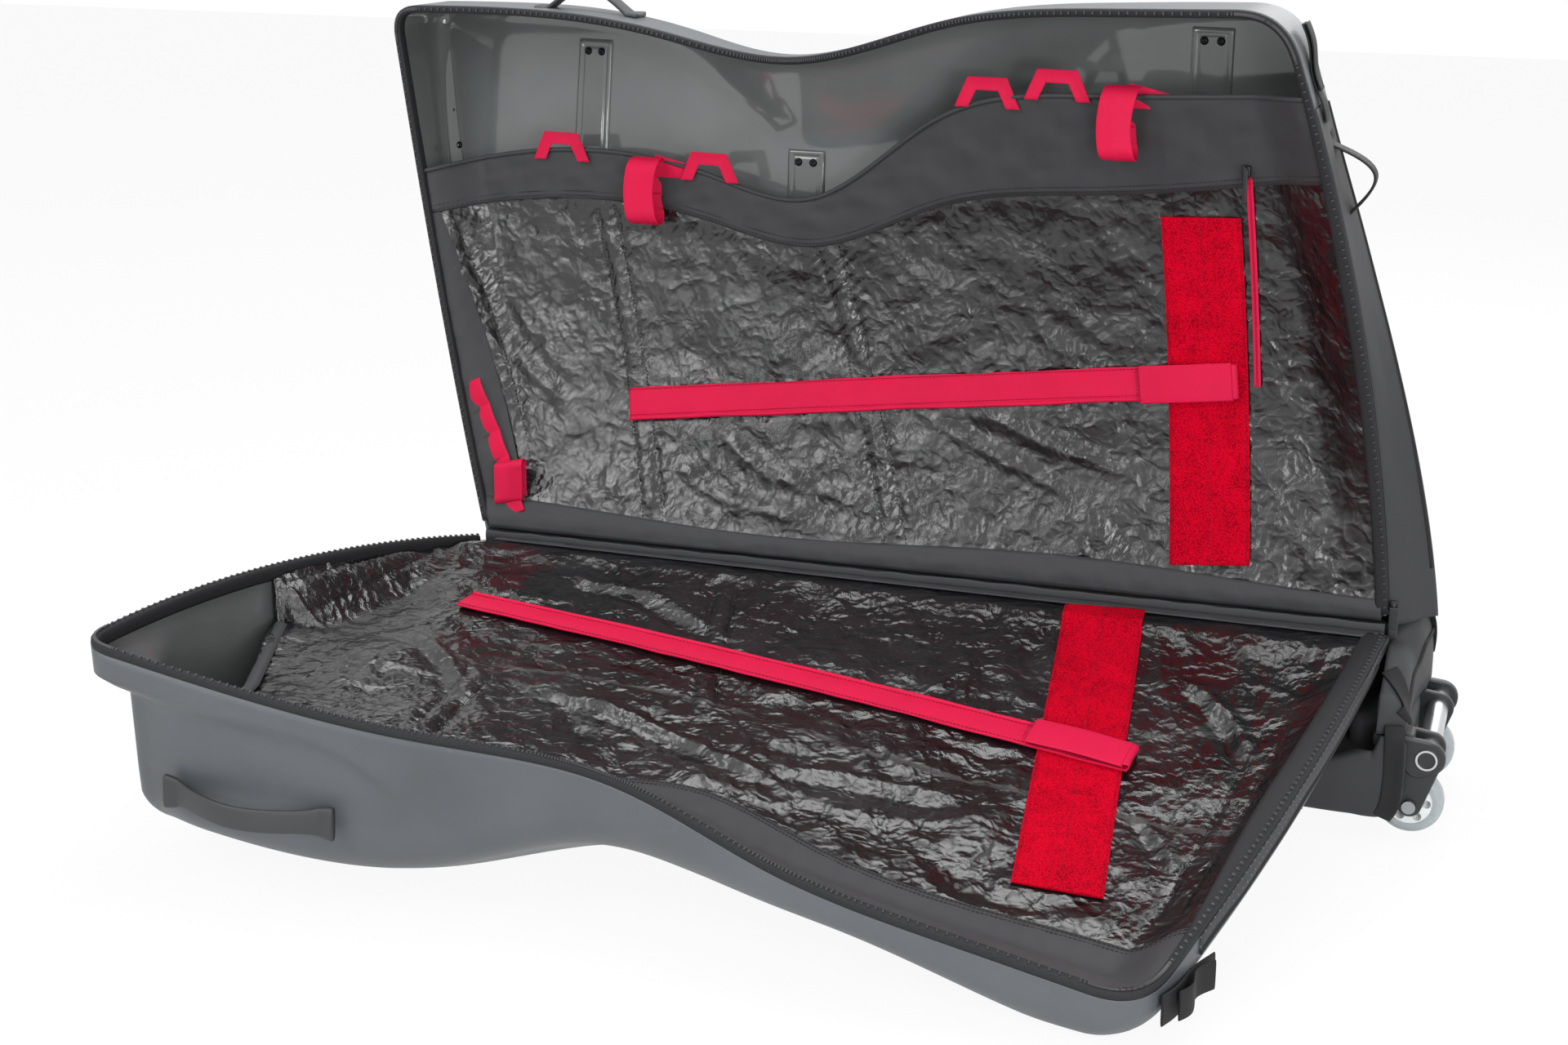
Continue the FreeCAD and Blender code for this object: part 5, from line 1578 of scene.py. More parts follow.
def make_loops():
    """Hanging rings with their tails, small trapezoid loops and the loop on the daisy chain."""
    for name, x, top in HANGING_LOOPS:
        out, up = ring_path(top - HANG_LENGTH, top, HANG_DEPTH)
        lean = 0.006 * np.sin((up - top) * 40)
        y = cloth(BACK, x, top - 0.04) - HANG_OFF - out
        ring = ribbon(to_world(BACK, x + lean, y, up), (1, 0, 0), band_profile(LOOP_WIDTH, BAND))
        t = np.linspace(0, 1, 40)
        tail_x, tail_z = x + 0.004 + TAIL_LENGTH * t, top - 0.010 - 0.006 * t
        tail_y = cloth(BACK, tail_x, tail_z - 0.014) - 0.0060 + 0.004 * t
        tail = ribbon(to_world(BACK, tail_x, tail_y, tail_z), (0, 0, 1), band_profile(TAIL_WIDTH, BAND))
        centre = tail.mean(axis=1, keepdims=True)
        narrow = np.pad(1 - TAIL_TAPER * t, 1, mode="edge")[:, None, None]
        add_red(name + "_band", [ring, centre + (tail - centre) * narrow], BACK, [name])
    way = np.linspace(0, 3, 46)
    outer, inner = (np.stack([np.interp(way, range(4), values) for values in zip(*line)], axis=1)
                    for line in (TRAPEZOID_OUTER, TRAPEZOID_INNER))
    middle, spread_out = (outer + inner) / 2, outer - inner
    across = turned(BACK, spread_out[:, 0], 0.0, spread_out[:, 1])
    out = np.broadcast_to(open_side(BACK), across.shape)
    grids = []
    for x, z in TRAPEZOID_PLACES:
        px, pz = x + middle[:, 0], z + middle[:, 1]
        y = cloth(BACK, px, np.minimum(pz, z)) - 0.0070 - np.clip(middle[:, 1], 0, 1) * 0.06
        grids.append(swept(to_world(BACK, px, y, pz), across, out, band_profile(1.0, BAND)))
    add_red("trapezoid_loops", grids, BACK, ["small_loops"])
    out, up = ring_path(0.036, 0.084, 0.012)
    y = cloth(BACK, DAISY_LOOP_X, 0.06) - 0.0065 - out
    loop = ribbon(to_world(BACK, DAISY_LOOP_X, y, up), (1.0, 0.0, 0.25), band_profile(LOOP_WIDTH, BAND))
    add_red("daisy_loop_band", [loop], BACK, ["daisy_loop"])


# Ribs, screws and rivets

WALL = 0.003
RIBS = (("left", -0.440, 0.415, 0.562), ("middle", -0.165, 0.380, 0.452), ("right", 0.292, 0.500, 0.606))
RIB_HALF = 0.023
RIB_HEIGHT = 0.0034
RIB_ROUND = 0.004
GROOVE_DEPTH, GROOVE_AWAY, GROOVE_WIDTH = 0.0012, 0.0075, 0.0016
SCREW_ASIDE, SCREW_IN = 0.009, 0.014
SCREW_RADIUS, SCREW_HEIGHT, DRIVE_DEPTH = 0.0045, 0.0026, 0.4
RIVETS = {BACK: ((-0.632, 0.470), (-0.620, 0.430)), FRONT: ((-0.628, 0.440), (-0.615, 0.400))}


def inner_face(half, x, z, height):
    """Place at a height over the shell's inside."""
    return to_world(half, x, face(half, x, z) - half * (WALL + height), z)


def plate(half, x0, x1, z0, z1, thickness):
    """Raised plate with rounded sides on the shell's inside: height falls off at the border."""
    s = np.linspace(0, 1, 36)[:, None]
    t = np.linspace(0, 1, 60)[None]
    x, z = x0 + (x1 - x0) * s + 0 * t, z0 + (z1 - z0) * t + 0 * s
    away = np.minimum(np.minimum(x - x0, x1 - x), np.minimum(z - z0, z1 - z))
    height = thickness * quarter_round(1 - away / RIB_ROUND)
    return inner_face(half, x, z, height - GROOVE_DEPTH * bell(away - GROOVE_AWAY, GROOVE_WIDTH))


def dome(centre, out, radius, height, slot_depth):
    """Screw head: a low dome with a rolled edge and a sunk drive, turned about its axis."""
    side = unit(np.cross(out, np.array([1.0, 0.0, 0.0])))
    other = np.cross(out, side)
    share = np.array([0.0, 0.18, 0.34, 0.36, 0.6, 0.85, 1.0, 1.0])
    rise = np.array([1 - slot_depth, 1 - slot_depth, 1 - slot_depth, 1.0, 0.96, 0.78, 0.30, -0.10])
    angle = np.linspace(0, 2 * math.pi, 25)
    ring = np.cos(angle)[:, None] * side + np.sin(angle)[:, None] * other
    return centre + ring[None] * (share * radius)[:, None, None] + out * (rise * height)[:, None, None]


def make_ribs():
    """Three plates on the back shell's inside, each held by three screws, and bare rivets in both halves."""
    heads = []
    for label, x, low, high in RIBS:
        grid = plate(BACK, x - RIB_HALF, x + RIB_HALF, low, high, RIB_HEIGHT)
        mesh = to_mesh("rib_%s_plate" % label, [grid], toward=open_side(BACK))
        add_piece(mesh, "back_half", "rib_metal", ["rib_plate"], ["back_rib_" + label])
        for aside, z in ((-SCREW_ASIDE, high - SCREW_IN), (SCREW_ASIDE, high - SCREW_IN),
                         (SCREW_ASIDE, low + SCREW_IN)):
            heads.append(stud_grid(BACK, x + aside, z, RIB_HEIGHT))
    add_piece(to_mesh("rib_screw_heads", heads), "back_half", "black_screws", ["dark_screw"],
              ["back_rib_screws"])
    for half, places in RIVETS.items():
        mesh = to_mesh(SIDES[half] + "_rivet_heads", [stud_grid(half, x, z, 0.0) for x, z in places])
        add_piece(mesh, BODIES[half], "black_screws", ["dark_screw"], [SIDES[half] + "_rivets"])


def stud_grid(half, x, z, height):
    """Screw head square on the shell's inside."""
    place = inner_face(half, np.array([x, x + 0.001, x]), np.array([z, z, z + 0.001]), height)
    out = unit(np.cross(place[1] - place[0], place[2] - place[0]))
    out = out if out @ open_side(half) > 0 else -out
    return dome(place[0], out, SCREW_RADIUS, SCREW_HEIGHT, DRIVE_DEPTH)


# Handles and straps on the outside

HANDLE_STEPS = 90
HANDLE_WIDTH = 0.024
HANDLE_RISE = 0.026
GRAB_LOOP_BOW = (0.040, 0, 0.010)
FOOT_LENGTH = 0.10


def arch_path(start, end, rise, foot):
    """Handle line: flat feet at both ends and a bowed middle that stands off along rise."""
    start, end = np.array(start), np.array(end)
    t = np.linspace(0, 1, HANDLE_STEPS)[:, None]
    lift = smoothstep(foot, 0.5, t) * smoothstep(foot, 0.5, 1 - t)
    return start + (end - start) * t + np.array(rise) * (lift ** 0.55)


def thick_feet(grid, swell):
    """Sections near both ends made thicker, as moulded feet are."""
    t = np.linspace(0, 1, HANDLE_STEPS)
    grow = 1 + swell * (bell(t, FOOT_LENGTH) + bell(1 - t, FOOT_LENGTH))
    grow = np.pad(grow, 1, mode="edge")[:, None, None]
    centre = grid[:, :-1].mean(axis=1, keepdims=True)
    return centre + (grid - centre) * grow


def make_handles():
    """Moulded strap handles on both halves and the webbing grab loop at the wheel end."""
    lo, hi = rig.box("back_handle")
    y = (lo[1] + hi[1]) / 2
    path = arch_path((lo[0] + 0.004, y, lo[2] + 0.006), (hi[0] - 0.004, y, lo[2] + 0.001),
                     (0, 0, HANDLE_RISE), 0.10)
    grid = thick_feet(ribbon(path, (0, 1, 0), band_profile(HANDLE_WIDTH, 0.0050)), 0.35)
    add_solid("top_handle", [grid], "back_half", "handle_rubber", "rubber", ["back_handle"])
    lo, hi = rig.box("front_handle")
    y, z = hi[1] + 0.002, (lo[2] + hi[2]) / 2
    path = arch_path((lo[0] + 0.006, y, z + 0.006), (hi[0] - 0.006, y, z - 0.004),
                     (0, -HANDLE_RISE, 0), 0.08)
    grid = thick_feet(ribbon(path, (0, 0, 1), band_profile(HANDLE_WIDTH, 0.0060)), 0.45)
    add_solid("side_handle", [grid], "front_half", "handle_rubber", "rubber", ["front_handle"])
    lo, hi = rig.box("side_grab_loop")
    y = (lo[1] + hi[1]) / 2
    path = arch_path((lo[0] + 0.002, y, hi[2] - 0.006), (hi[0] - 0.034, y, lo[2] + 0.004),
                     GRAB_LOOP_BOW, 0.12)
    grid = ribbon(path, (0, 1, 0), band_profile(0.025, 0.0030))
    add_black("grab_loop_webbing", [grid], BACK, ["side_grab_loop"])


def make_closing_straps():
    """Closing straps at the top right corners: doubled webbing, the front one folded back on itself."""
    t = np.linspace(0, 1, 70)[:, None]
    lo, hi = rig.box("back_closing_strap")
    y = (lo[1] + hi[1]) / 2
    start, end = np.array([lo[0] + 0.003, y, hi[2]]), np.array([hi[0] - 0.003, y, lo[2]])
    path = start + (end - start) * t + np.array([0.002, 0, 0]) * np.sin(t * 9)
    upper = path[:48] + np.array([0.0032, 0, 0.001])
    grids = [ribbon(path, (0, 1, 0), band_profile(0.029, 0.0026)),
             ribbon(upper, (0, 1, 0), band_profile(0.028, 0.0024))]
    add_black("back_closing_webbing", grids, BACK, ["back_closing_strap"])
    lo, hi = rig.box("front_closing_strap")
    z = (lo[2] + hi[2]) / 2
    start, end = np.array([lo[0] + 0.003, lo[1], z]), np.array([hi[0] - 0.003, hi[1], z])
    path = start + (end - start) * t + np.array([0.002, 0, 0]) * np.sin(t * 7)
    upper = path[10:60] + np.array([0.0042, 0, 0]) + np.array([0.006, 0, 0]) * np.sin(t[10:60] * 5) ** 2
    grids = [ribbon(path, (0, 0, 1), band_profile(0.030, 0.0026)),
             ribbon(upper, (0, 0, 1), band_profile(0.029, 0.0024))]
    add_black("front_closing_webbing", grids, FRONT, ["front_closing_strap"])


# Base, wheels and zip sliders

def soft_box(low, high, radius, seed=0, slack=0.0, fill=16):
    """Box with round edges: upright corner arcs at two rounded rims, with flat sides and ends between."""
    low, high = np.array(low, float), np.array(high, float)
    centre, half = (low + high) / 2, (high - low) / 2
    arc = np.linspace(0, math.pi / 2, 7)
    angle = np.concatenate([arc + corner * math.pi / 2 for corner in range(4)])
    corner_x = np.repeat((1.0, -1.0, -1.0, 1.0), len(arc))
    corner_y = np.repeat((1.0, 1.0, -1.0, -1.0), len(arc))
    rows = []
    for side, rim_arc in ((-1, arc[::-1]), (1, arc)):
        for lift in rim_arc:
            out = radius * math.cos(lift)
            rows.append(np.column_stack([
                corner_x * (half[0] - radius) + out * np.cos(angle),
                corner_y * (half[1] - radius) + out * np.sin(angle),
                np.full(len(angle), side * (half[2] - radius + radius * math.sin(lift)))]))
    shape = np.stack(rows)
    shape = dense(np.concatenate([shape, shape[:, :1]], axis=1), fill)
    caps = []
    for end in (0, -1):
        middle = shape[end, :-1].mean(axis=0)
        caps.append(np.stack([middle + (shape[end] - middle) * k for k in (0.0, 0.35, 0.7)]))
    shape = np.concatenate([caps[0], shape, caps[1][::-1]])
    if slack:
        waves = ripples(shape[..., 0] + shape[..., 1], shape[..., 2], 0.07, seed)
        shape = shape + unit(shape) * (waves * slack)[..., None]
    return shape + centre


def divided(grid, step, most):
    """Rows of a grid with further rows between those that stand far apart."""
    rows = []
    for here, there in zip(grid, grid[1:]):
        gap = np.linalg.norm(there - here, axis=1).max()
        parts = max(1, min(most, int(gap / step)))
        rows += [here + (there - here) * k / parts for k in range(parts)]
    return np.stack(rows + [grid[-1]])


def dense(shape, fill):
    """Long flat stretches of a ring grid divided into shorter ones, both ways."""
    step = 0.16 / fill
    around = divided(shape.swapaxes(0, 1), step, 80).swapaxes(0, 1)
    return divided(around, step, 30)


GUSSET_IN = 0.5222
GUSSET_LOW = 0.1105
GUSSET_HALF = 0.0985
GUSSET_ROUND = 0.009
GUSSET_LAST_TURN = 1.55


def gusset_at(y, turn):
    """Place on the gusset: a quarter curve in each upright section.

    It is lower at the front, and drawn in at both ends.
    """
    y, turn = np.broadcast_arrays(np.asarray(y, float), np.asarray(turn, float))
    drawn = quarter_round(1 - (GUSSET_HALF - np.abs(y)) / GUSSET_ROUND)
    high = 0.150 + 0.024 * smoothstep(-0.09, -0.01, y) + 0.022 * smoothstep(0.008, 0.05, y)
    reach = 0.029 + 0.012 * smoothstep(-0.02, 0.09, y)
    x = GUSSET_IN + reach * drawn * np.sin(turn) ** 0.75
    z = GUSSET_LOW + (high - GUSSET_LOW) * drawn * np.cos(turn) ** 0.60
    return np.stack([x, y, z], axis=-1)


def gusset():
    """Closed block under the gusset's curve, from the front corner to the back one."""
    half_turn = np.linspace(0, math.pi, 90)
    y = -GUSSET_HALF * np.cos(half_turn)[:, None]
    cover = gusset_at(y, np.linspace(0, math.pi / 2, 28)[None])
    foot = np.concatenate([np.full_like(y, GUSSET_IN), y, np.full_like(y, GUSSET_LOW)], axis=1)[:, None]
    return np.concatenate([foot, cover, foot], axis=1)


def on_gusset(first, last, profile, lift, count=50):
    """Band on the gusset between two places (y, turn), its width square to the way and to the cloth."""
    y, turn = line_at(first, last, np.linspace(0, 1, count))
    along = gusset_at(y + 0.002, turn) - gusset_at(y - 0.002, turn)
    before, after = (gusset_at(y, np.clip(turn + way * 0.04, 0, GUSSET_LAST_TURN)) for way in (-1, 1))
    out = unit(np.cross(after - before, along))
    out = out * np.sign(out[:, :1])
    path = gusset_at(y, turn) + out * lift
    return ribbon(path, np.cross(out, np.gradient(path, axis=0)), profile)


def side_flap(way):
    """Fabric side in front of the wheel: a rounded upright section carried along.

    It bulges towards the wheel end.
    """
    x = np.linspace(0.380, 0.5535, 110)[:, None]
    angle = np.linspace(0, 2 * math.pi, 41)[None]
    cos, sin = np.cos(angle), np.sin(angle)
    outer = 0.1002 + 0.0078 * smoothstep(0.40, 0.50, x)
    inner = 0.0900 + 0.0074 * smoothstep(0.500, 0.516, x)
    low = 0.0205 + 0.030 * (1 - quarter_round((x - 0.5235) / 0.0301))
    high = 0.0765 + 0.016 * smoothstep(0.46, 0.515, x) + 0.0175 * smoothstep(0.5195, 0.528, x)
    high = high - 0.010 * (1 - quarter_round((x - 0.5425) / 0.0111))
    across = (outer + inner) / 2 + (outer - inner) / 2 * np.sign(cos) * np.abs(cos) ** 0.7
    rise = (low + high) / 2 + (high - low) / 2 * np.sign(sin) * np.abs(sin) ** 0.35
    return capped(np.stack(np.broadcast_arrays(x, way * across, rise), axis=-1))


DOWN_STRAP = ((0.5400, -0.0990, 0.1215), (0.5415, -0.1082, 0.1120), (0.5425, -0.1092, 0.0850),
              (0.5425, -0.1092, 0.0560), (0.5395, -0.1085, 0.0330), (0.5340, -0.1040, 0.0215))
TUB_BLOCKS = (((-0.515, 0.010, 0.020), (0.517, 0.100, 0.187), 0.022, 1, 0.0009),
              ((-0.515, -0.100, 0.020), (0.517, 0.040, 0.078), 0.020, 2, 0.0009),
              ((0.490, -0.0525, 0.020), (0.556, 0.0525, 0.112), 0.014, 3, 0.0006))
BOARD = ((-0.494, -0.079, 0.0240), (0.496, 0.079, 0.0295), 0.0026)
TUB_PIPING = ((-0.099, 0.070), (0.099, 0.176))


def make_tub():
    """Soft base block under the hinge, its nose between the wheels, and the webbing crosses on its corner."""
    grids = [soft_box(*block) for block in TUB_BLOCKS] + [gusset(), side_flap(-1), side_flap(1)]
    tub = add_solid("base_fabric", grids, "back_half", "case_fabric", "nylon", ["base_tub"])
    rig.padded(tub, 0.5)
    add_solid("base_board_panel", [soft_box(*BOARD)], "back_half", "base_plastic", "moulded_black",
              ["base_board"])
    knots = np.array(DOWN_STRAP)
    path = cubic(np.column_stack([lengths(knots), knots]))(np.linspace(0, lengths(knots)[-1], 60))
    flat = band_profile(0.020, BAND)
    bands = [on_gusset((-0.050, 0.10), (-0.0935, 1.25), flat, 0.0012),
             ribbon(path, (1, 0, 0), flat), ribbon(path * (1.0, -1.0, 1.0), (1, 0, 0), flat),
             on_gusset((0.090, 0.30), (0.0950, 1.35), flat, 0.0012)]
    add_black("base_webbing", bands, BACK)
    piping = [on_gusset((0.090, 1.10), (-0.090, 1.22), round_profile(0.0022), 0.0006, 90)]
    for y, z in TUB_PIPING:
        path = np.column_stack([np.linspace(-0.49, 0.49, 60), np.full(60, y), np.full(60, z)])
        piping.append(ribbon(path, (0, 0, 1), round_profile(0.0026)))
    add_black("base_piping", piping, BACK)


CAD_FINISHES = {
    "base_runner": "moulded_black",
    "wheel_tyre_near": "tyre", "wheel_tyre_far": "tyre", "wheel_hub_near": "hub", "wheel_hub_far": "hub",
    "wheel_bearings_near": "steel", "wheel_bearings_far": "steel",
    "axle_bolt_near": "steel", "axle_bolt_far": "steel", "grip_tube": "aluminium",
}


def dress_frame():
    """Finishes of the turned and moulded CAD pieces, which keep their shapes."""
    for node, name in CAD_FINISHES.items():
        piece = frame["nodes"][node]
        piece.data.materials.clear()
        piece.data.materials.append(finish(name))


def hull_points(circles, count=96):
    """Taut line round circles (x, z, radius): for each direction, the farthest point of any circle."""
    angle = np.linspace(0, 2 * math.pi, count, endpoint=False)
    way = np.column_stack([np.cos(angle), np.sin(angle)])
    circles = np.array(circles)
    far = way @ circles[:, :2].T + circles[:, 2]
    best = circles[np.argmax(far, axis=1)]
    return best[:, :2] + way * best[:, 2:]


def slab(outline, y0, y1, bevel):
    """Plate of an outline in the XZ plane between y0 and y1, its edges bevelled towards its middle."""
    middle = outline.mean(axis=0)
    inner = outline + (middle - outline) / np.linalg.norm(outline - middle, axis=1)[:, None] * bevel
    point = np.repeat(middle[None], len(outline), axis=0)
    rows = [(point, y0), (inner, y0), (outline, y0 + bevel * 0.9),
            (outline, y1 - bevel * 0.9), (inner, y1), (point, y1)]
    grid = np.stack([np.column_stack([line[:, 0], np.full(len(line), y), line[:, 1]]) for line, y in rows])
    return np.concatenate([grid, grid[:, :1]], axis=1)


BRACKET_CIRCLES = ((0.533, 0.098, 0.0115), (0.574, 0.087, 0.0165), (0.560, 0.034, 0.0125))
ARM_CIRCLES = ((0.528, 0.104, 0.0060), (0.574, 0.087, 0.0185), (0.566, 0.080, 0.0150))
FORK_PLATES = ((BRACKET_CIRCLES, 0.0885, 0.0945, 0.0016), (BRACKET_CIRCLES, 0.0535, 0.0615, 0.0016),
               (ARM_CIRCLES, 0.0850, 0.0962, 0.0022))
FORK_SHARP = 35


def make_brackets():
    """Moulded wheel forks: two rounded cheeks, an outer arm round the tube's end, a bridge over the wheel."""
    for name, way in (("near", -1), ("far", 1)):
        grids = [slab(hull_points(circles), *sorted((way * first, way * last)), bevel)
                 for circles, first, last, bevel in FORK_PLATES]
        low, high = sorted((way * 0.0600, way * 0.0900))
        grids.append(soft_box((0.5185, low, 0.092), (0.560, high, 0.1095), 0.004))
        add_solid("bracket_%s_moulding" % name, grids, "back_half", "base_plastic", "moulded_black",
                  ["wheel_bracket_" + name], FORK_SHARP)


def slider_body(lo, hi):
    """Zip slider: a soft block with a bridge over it."""
    middle = (lo + hi) / 2
    top = lo[1] + 0.002
    body = soft_box((lo[0], top, lo[2]), hi, 0.0018, fill=60)
    t = np.linspace(0, math.pi, 20)
    bridge = np.column_stack([np.full(20, middle[0]), top - 0.0022 * np.sin(t),
                              middle[2] + 0.0045 * np.cos(t)])
    return [body, ribbon(bridge, (1, 0, 0), band_profile(0.0028, 0.0010, 0, 12))]


SLIDERS = (("pocket_zip", "pocket_slider", "pocket_pull", "slider"),
           ("main_zip", "back_half", "main_pull", "moulded_black"))


def make_sliders():
    """Sliders and pull tabs of the pocket zip and the main zip; the main pull carries a bare square badge."""
    for name, slider, pull, look in SLIDERS:
        lo, hi = (np.array(corner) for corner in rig.box(name + "_slider"))
        add_solid(name + "_slider_body", slider_body(lo, hi), slider, "slider_metal", "slider",
                  [name + "_slider"])
        lo, hi = (np.array(corner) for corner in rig.box(name + "_pull"))
        middle = (lo + hi) / 2
        path = np.column_stack([np.full(40, middle[0]), np.full(40, middle[1]),
                                np.linspace(hi[2], lo[2], 40)])
        grids = [ribbon(path, (1, 0, 0), band_profile(hi[0] - lo[0], 0.0019))]
        if name == "main_zip":
            grids.append(soft_box((lo[0] + 0.001, lo[1] - 0.0008, lo[2] + 0.002),
                                  (hi[0] - 0.001, lo[1] + 0.0015, lo[2] + 0.010), 0.0006, fill=60))
        add_solid(name + "_pull_tab", grids, pull, "slider_metal", look, [name + "_pull"])


# Stage

CAMERA_PLACE = (0.685, -2.487, 1.062)
CAMERA_TURN = (math.radians(90 - 17.4), 0.0, math.radians(18.5))
CAMERA_LENS = 56.2
CAMERA_SENSOR = 36.0
LAMPS = (
    ("key_light", (-1.9, -2.3, 2.6), (0.0, -0.1, 0.3), 1.6, 44.0),
    ("fill_light", (1.7, -2.7, 1.2), (0.1, 0.0, 0.55), 1.5, 44.0),
    ("top_light", (0.1, 0.2, 3.0), (0.0, -0.2, 0.2), 2.2, 62.0),
    ("back_light", (0.8, 2.6, 1.8), (0.0, 0.0, 0.5), 1.6, 24.0),
    ("strip_light_left", (-1.15, -2.9, 1.1), (-0.3, 0.2, 0.7), 0.22, 7.0),
    ("strip_light_right", (1.5, -2.6, 0.7), (0.1, 0.1, 0.75), 0.25, 7.0),
)
SKY_COLOUR = (0.82, 0.84, 0.86, 1.0)
SKY_STRENGTH = 0.42
WHITE = (1.0, 1.0, 1.0, 1.0)
FLOOR_HALF = 7.0
FLOOR_TONES = ((0.86, 0.86, 0.86, 1.0), (0.90, 0.90, 0.90, 1.0))
FLOOR_GLOW = 0.92


def look_at(place, target):
    """Turn of a lamp at a place that shines on a target."""
    return (Vector(target) - Vector(place)).to_track_quat("-Z", "Y").to_euler()


def make_stage():
    """Camera at the photograph's place, soft lamps, a white world and a pale floor that keeps the shadow."""
    scene = bpy.context.scene
    camera = bpy.data.objects.new("camera", bpy.data.cameras.new("camera"))
    camera.location = CAMERA_PLACE
    camera.rotation_euler = CAMERA_TURN
    camera.data.lens = CAMERA_LENS
    camera.data.sensor_width = CAMERA_SENSOR
    scene.collection.objects.link(camera)
    scene.camera = camera
    for name, place, target, size, power in LAMPS:
        lamp = bpy.data.objects.new(name, bpy.data.lights.new(name, "AREA"))
        lamp.data.size = size
        lamp.data.energy = power
        lamp.location = place
        lamp.rotation_euler = look_at(place, target)
        scene.collection.objects.link(lamp)
    scene.view_settings.view_transform = "Standard"
    scene.world = studio_world()
    corners = np.linspace(-FLOOR_HALF, FLOOR_HALF, 3)
    grid = np.stack(np.broadcast_arrays(corners[:, None], corners[None], 0.0), axis=-1)
    floor = bpy.data.objects.new("floor", to_mesh("floor", [grid], toward=(0, 0, 1)))
    scene.collection.objects.link(floor)
    floor.data.materials.append(floor_finish())
    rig.stage(floor)


def studio_world():
    """World that is white to look at and lights the scene more faintly."""
    world = bpy.data.worlds.new("studio")
    world.use_nodes = True
    made = Nodes(world.node_tree)
    faint = world.node_tree.nodes["Background"]
    faint.inputs["Color"].default_value = SKY_COLOUR
    faint.inputs["Strength"].default_value = SKY_STRENGTH
    white = made.node("ShaderNodeBackground", {}, {"Color": WHITE})
    sockets = {0: made.seen_directly(), 1: Value(made, faint.outputs[0]), 2: white}
    made.link(made.node("ShaderNodeMixShader", {}, sockets), "World Output", "Surface")
    return world


def floor_finish():
    """Pale matt floor, part of whose white is its own light for the eye, so that a soft shadow stays."""
    made = Finish("pale_floor", Roughness=0.9)
    made.feed(Base_Color=made.mix(made.noise(2.0, 3.0), *FLOOR_TONES))
    glow = made.node("ShaderNodeEmission", {}, {})
    sockets = {0: made.seen_directly() * FLOOR_GLOW, 1: Value(made, made.shader.outputs[0]), 2: glow}
    made.link(made.node("ShaderNodeMixShader", {}, sockets), "Material Output", "Surface")
    return made.material


# Add-on classes

class CaseSizes(bpy.types.PropertyGroup):
    shell_wall: bpy.props.FloatProperty(
        name="Shell wall", description="Thickness of the moulded shells", default=0.003, unit="LENGTH")
    tooth_pitch: bpy.props.FloatProperty(
        name="Tooth pitch", description="Way from one zip tooth to the next", default=0.0036, unit="LENGTH")


def colour_property(name, description, default):
    return bpy.props.FloatVectorProperty(
        name=name, description=description, default=default, size=3, min=0.0, max=1.0, subtype="COLOR_GAMMA")


class CaseLooks(bpy.types.PropertyGroup):
    shell: colour_property("Shell", "Satin outside of the shells", (0.308, 0.320, 0.334))
    shell_inside: colour_property("Shell inside", "Glossy inside of the shells", (0.375, 0.385, 0.385))
    tarp: colour_property("Tarpaulin", "Coated liner cloth", (0.058, 0.060, 0.066))
    nylon: colour_property("Nylon", "Matt black cloth, tapes and webbing", (0.145, 0.147, 0.153))
    webbing: colour_property("Red webbing", "Straps and loops", (0.92, 0.07, 0.29))
    pile: colour_property("Red pile", "Loop pile panels", (0.88, 0.0, 0.15))


STEPS = []


def build_step(name, label, text, call, halves=()):
    """Operator class that runs a maker, once or for each of the halves."""
    def execute(self, context):
        for half in halves:
            call(half)
        if not halves:
            call()
        return {"FINISHED"}
    STEPS.append(type("TRAVELCASE_OT_" + name, (bpy.types.Operator,), {
        "bl_idname": "travelcase." + name, "bl_label": label, "bl_options": {"REGISTER"},
        "__doc__": text, "execute": execute}))


BOTH = (BACK, FRONT)


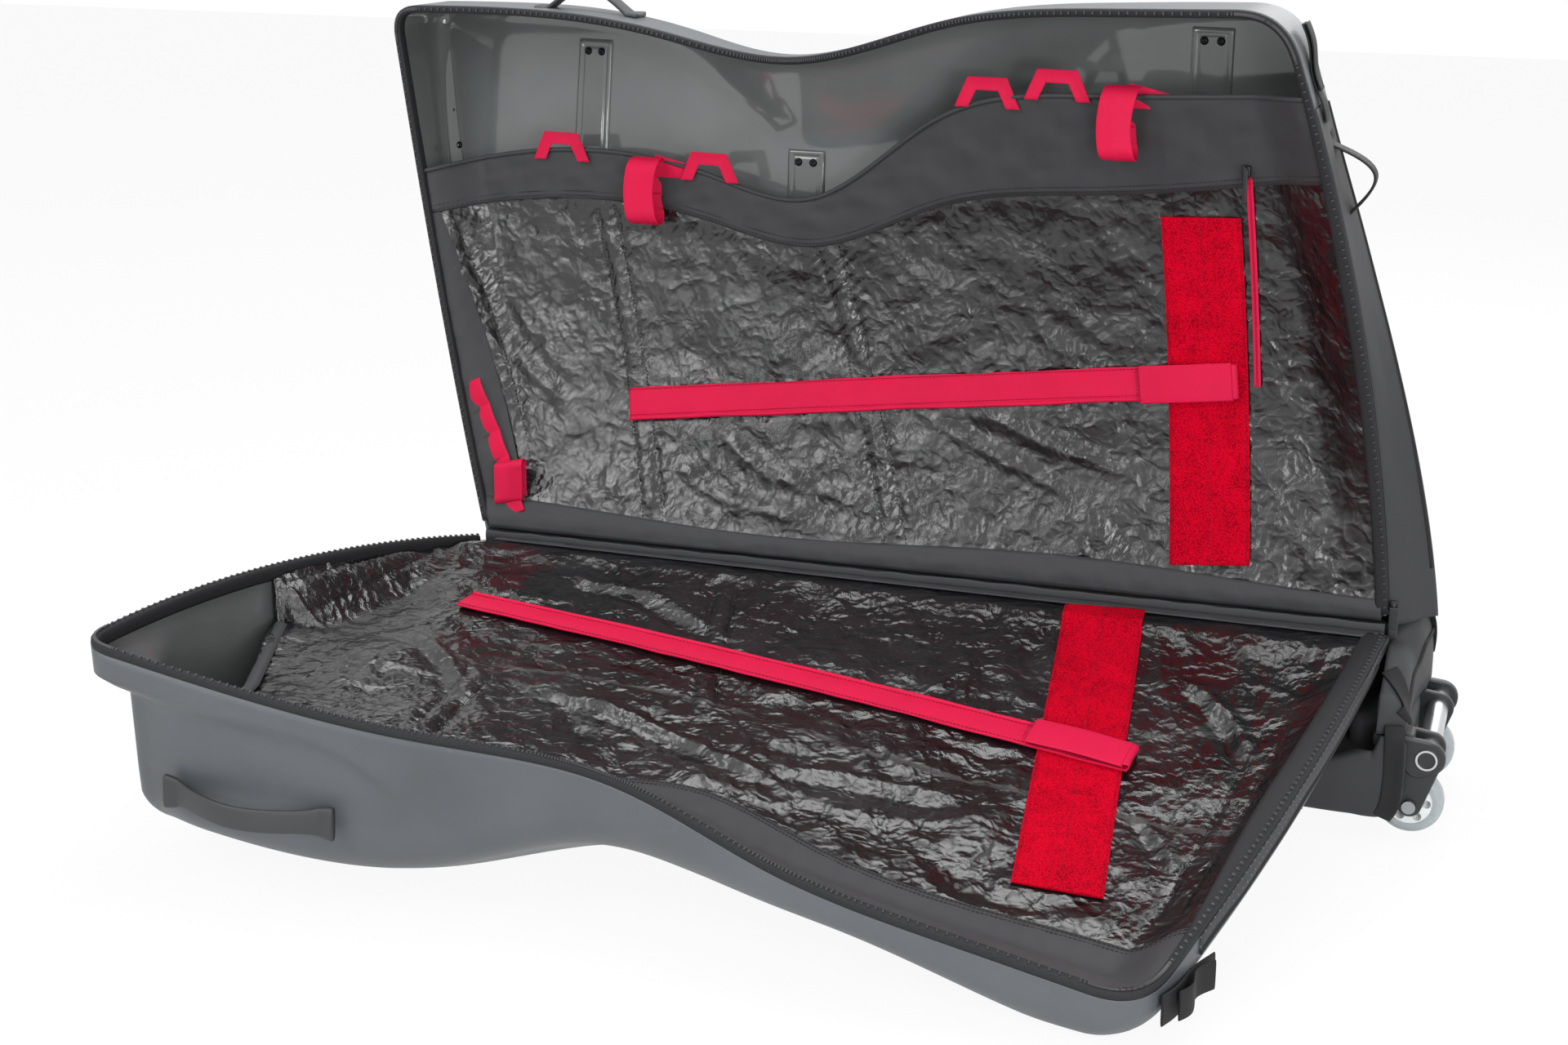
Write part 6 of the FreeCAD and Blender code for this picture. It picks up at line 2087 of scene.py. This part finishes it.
build_step("shells", "Shells", "Moulded shells and their fabric ends", make_shell, BOTH)
build_step("zips", "Zip bands", "Zip bands and teeth round both rims", make_zip_band, BOTH)
build_step("liners", "Liners", "Tarpaulin liners in both halves", make_liner, BOTH)
build_step("borders", "Borders", "Matt borders, piping and black stitching", make_border, BOTH)
build_step("hinge", "Hinge", "Fabric fold along the hinge", make_hinge)
build_step("straps", "Straps", "Padded straps and pile panels", make_straps, BOTH)
build_step("pocket", "Pocket zip", "Red zip tape and daisy chain", make_pocket_zip)
build_step("loops", "Loops", "Hanging, trapezoid and daisy loops", make_loops)
build_step("ribs", "Ribs", "Ribs, screws and rivets", make_ribs)
build_step("handles", "Handles", "Handles and the grab loop", make_handles)
build_step("closing", "Closing straps", "Closing straps at the top corners", make_closing_straps)
build_step("base", "Base", "Soft base block with its webbing", make_tub)
build_step("brackets", "Brackets", "Moulded wheel forks", make_brackets)
build_step("hardware", "Hardware", "Finishes of runner, wheels, bolts and tube", dress_frame)
build_step("sliders", "Sliders", "Zip sliders and pull tabs", make_sliders)
build_step("stage", "Stage", "Camera, lamps, world and floor", make_stage)


class TRAVELCASE_PT_panel(bpy.types.Panel):
    """Sizes, colours and building steps of the travel case"""
    bl_label = "Travel case"
    bl_space_type = "VIEW_3D"
    bl_region_type = "UI"
    bl_category = "Travel case"

    def draw(self, context):
        for group in (context.scene.case_sizes, context.scene.case_looks):
            for key in group.__annotations__:
                self.layout.prop(group, key)
        for step in STEPS:
            self.layout.operator(step.bl_idname)


CLASSES = [CaseSizes, CaseLooks, *STEPS, TRAVELCASE_PT_panel]


def register():
    for item in CLASSES:
        bpy.utils.register_class(item)
    bpy.types.Scene.case_sizes = bpy.props.PointerProperty(type=CaseSizes)
    bpy.types.Scene.case_looks = bpy.props.PointerProperty(type=CaseLooks)


def unregister():
    del bpy.types.Scene.case_looks
    del bpy.types.Scene.case_sizes
    for item in reversed(CLASSES):
        bpy.utils.unregister_class(item)


def main():
    register()
    for step in STEPS:
        group, name = step.bl_idname.split(".")
        getattr(getattr(bpy.ops, group), name)()
    bpy.context.view_layer.update()
    with open("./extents.json", "w") as out:
        json.dump({"cad": CAD_BOX, "visual": [list(corner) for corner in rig.bounds()]}, out)


if __name__ == "__main__":
    main()
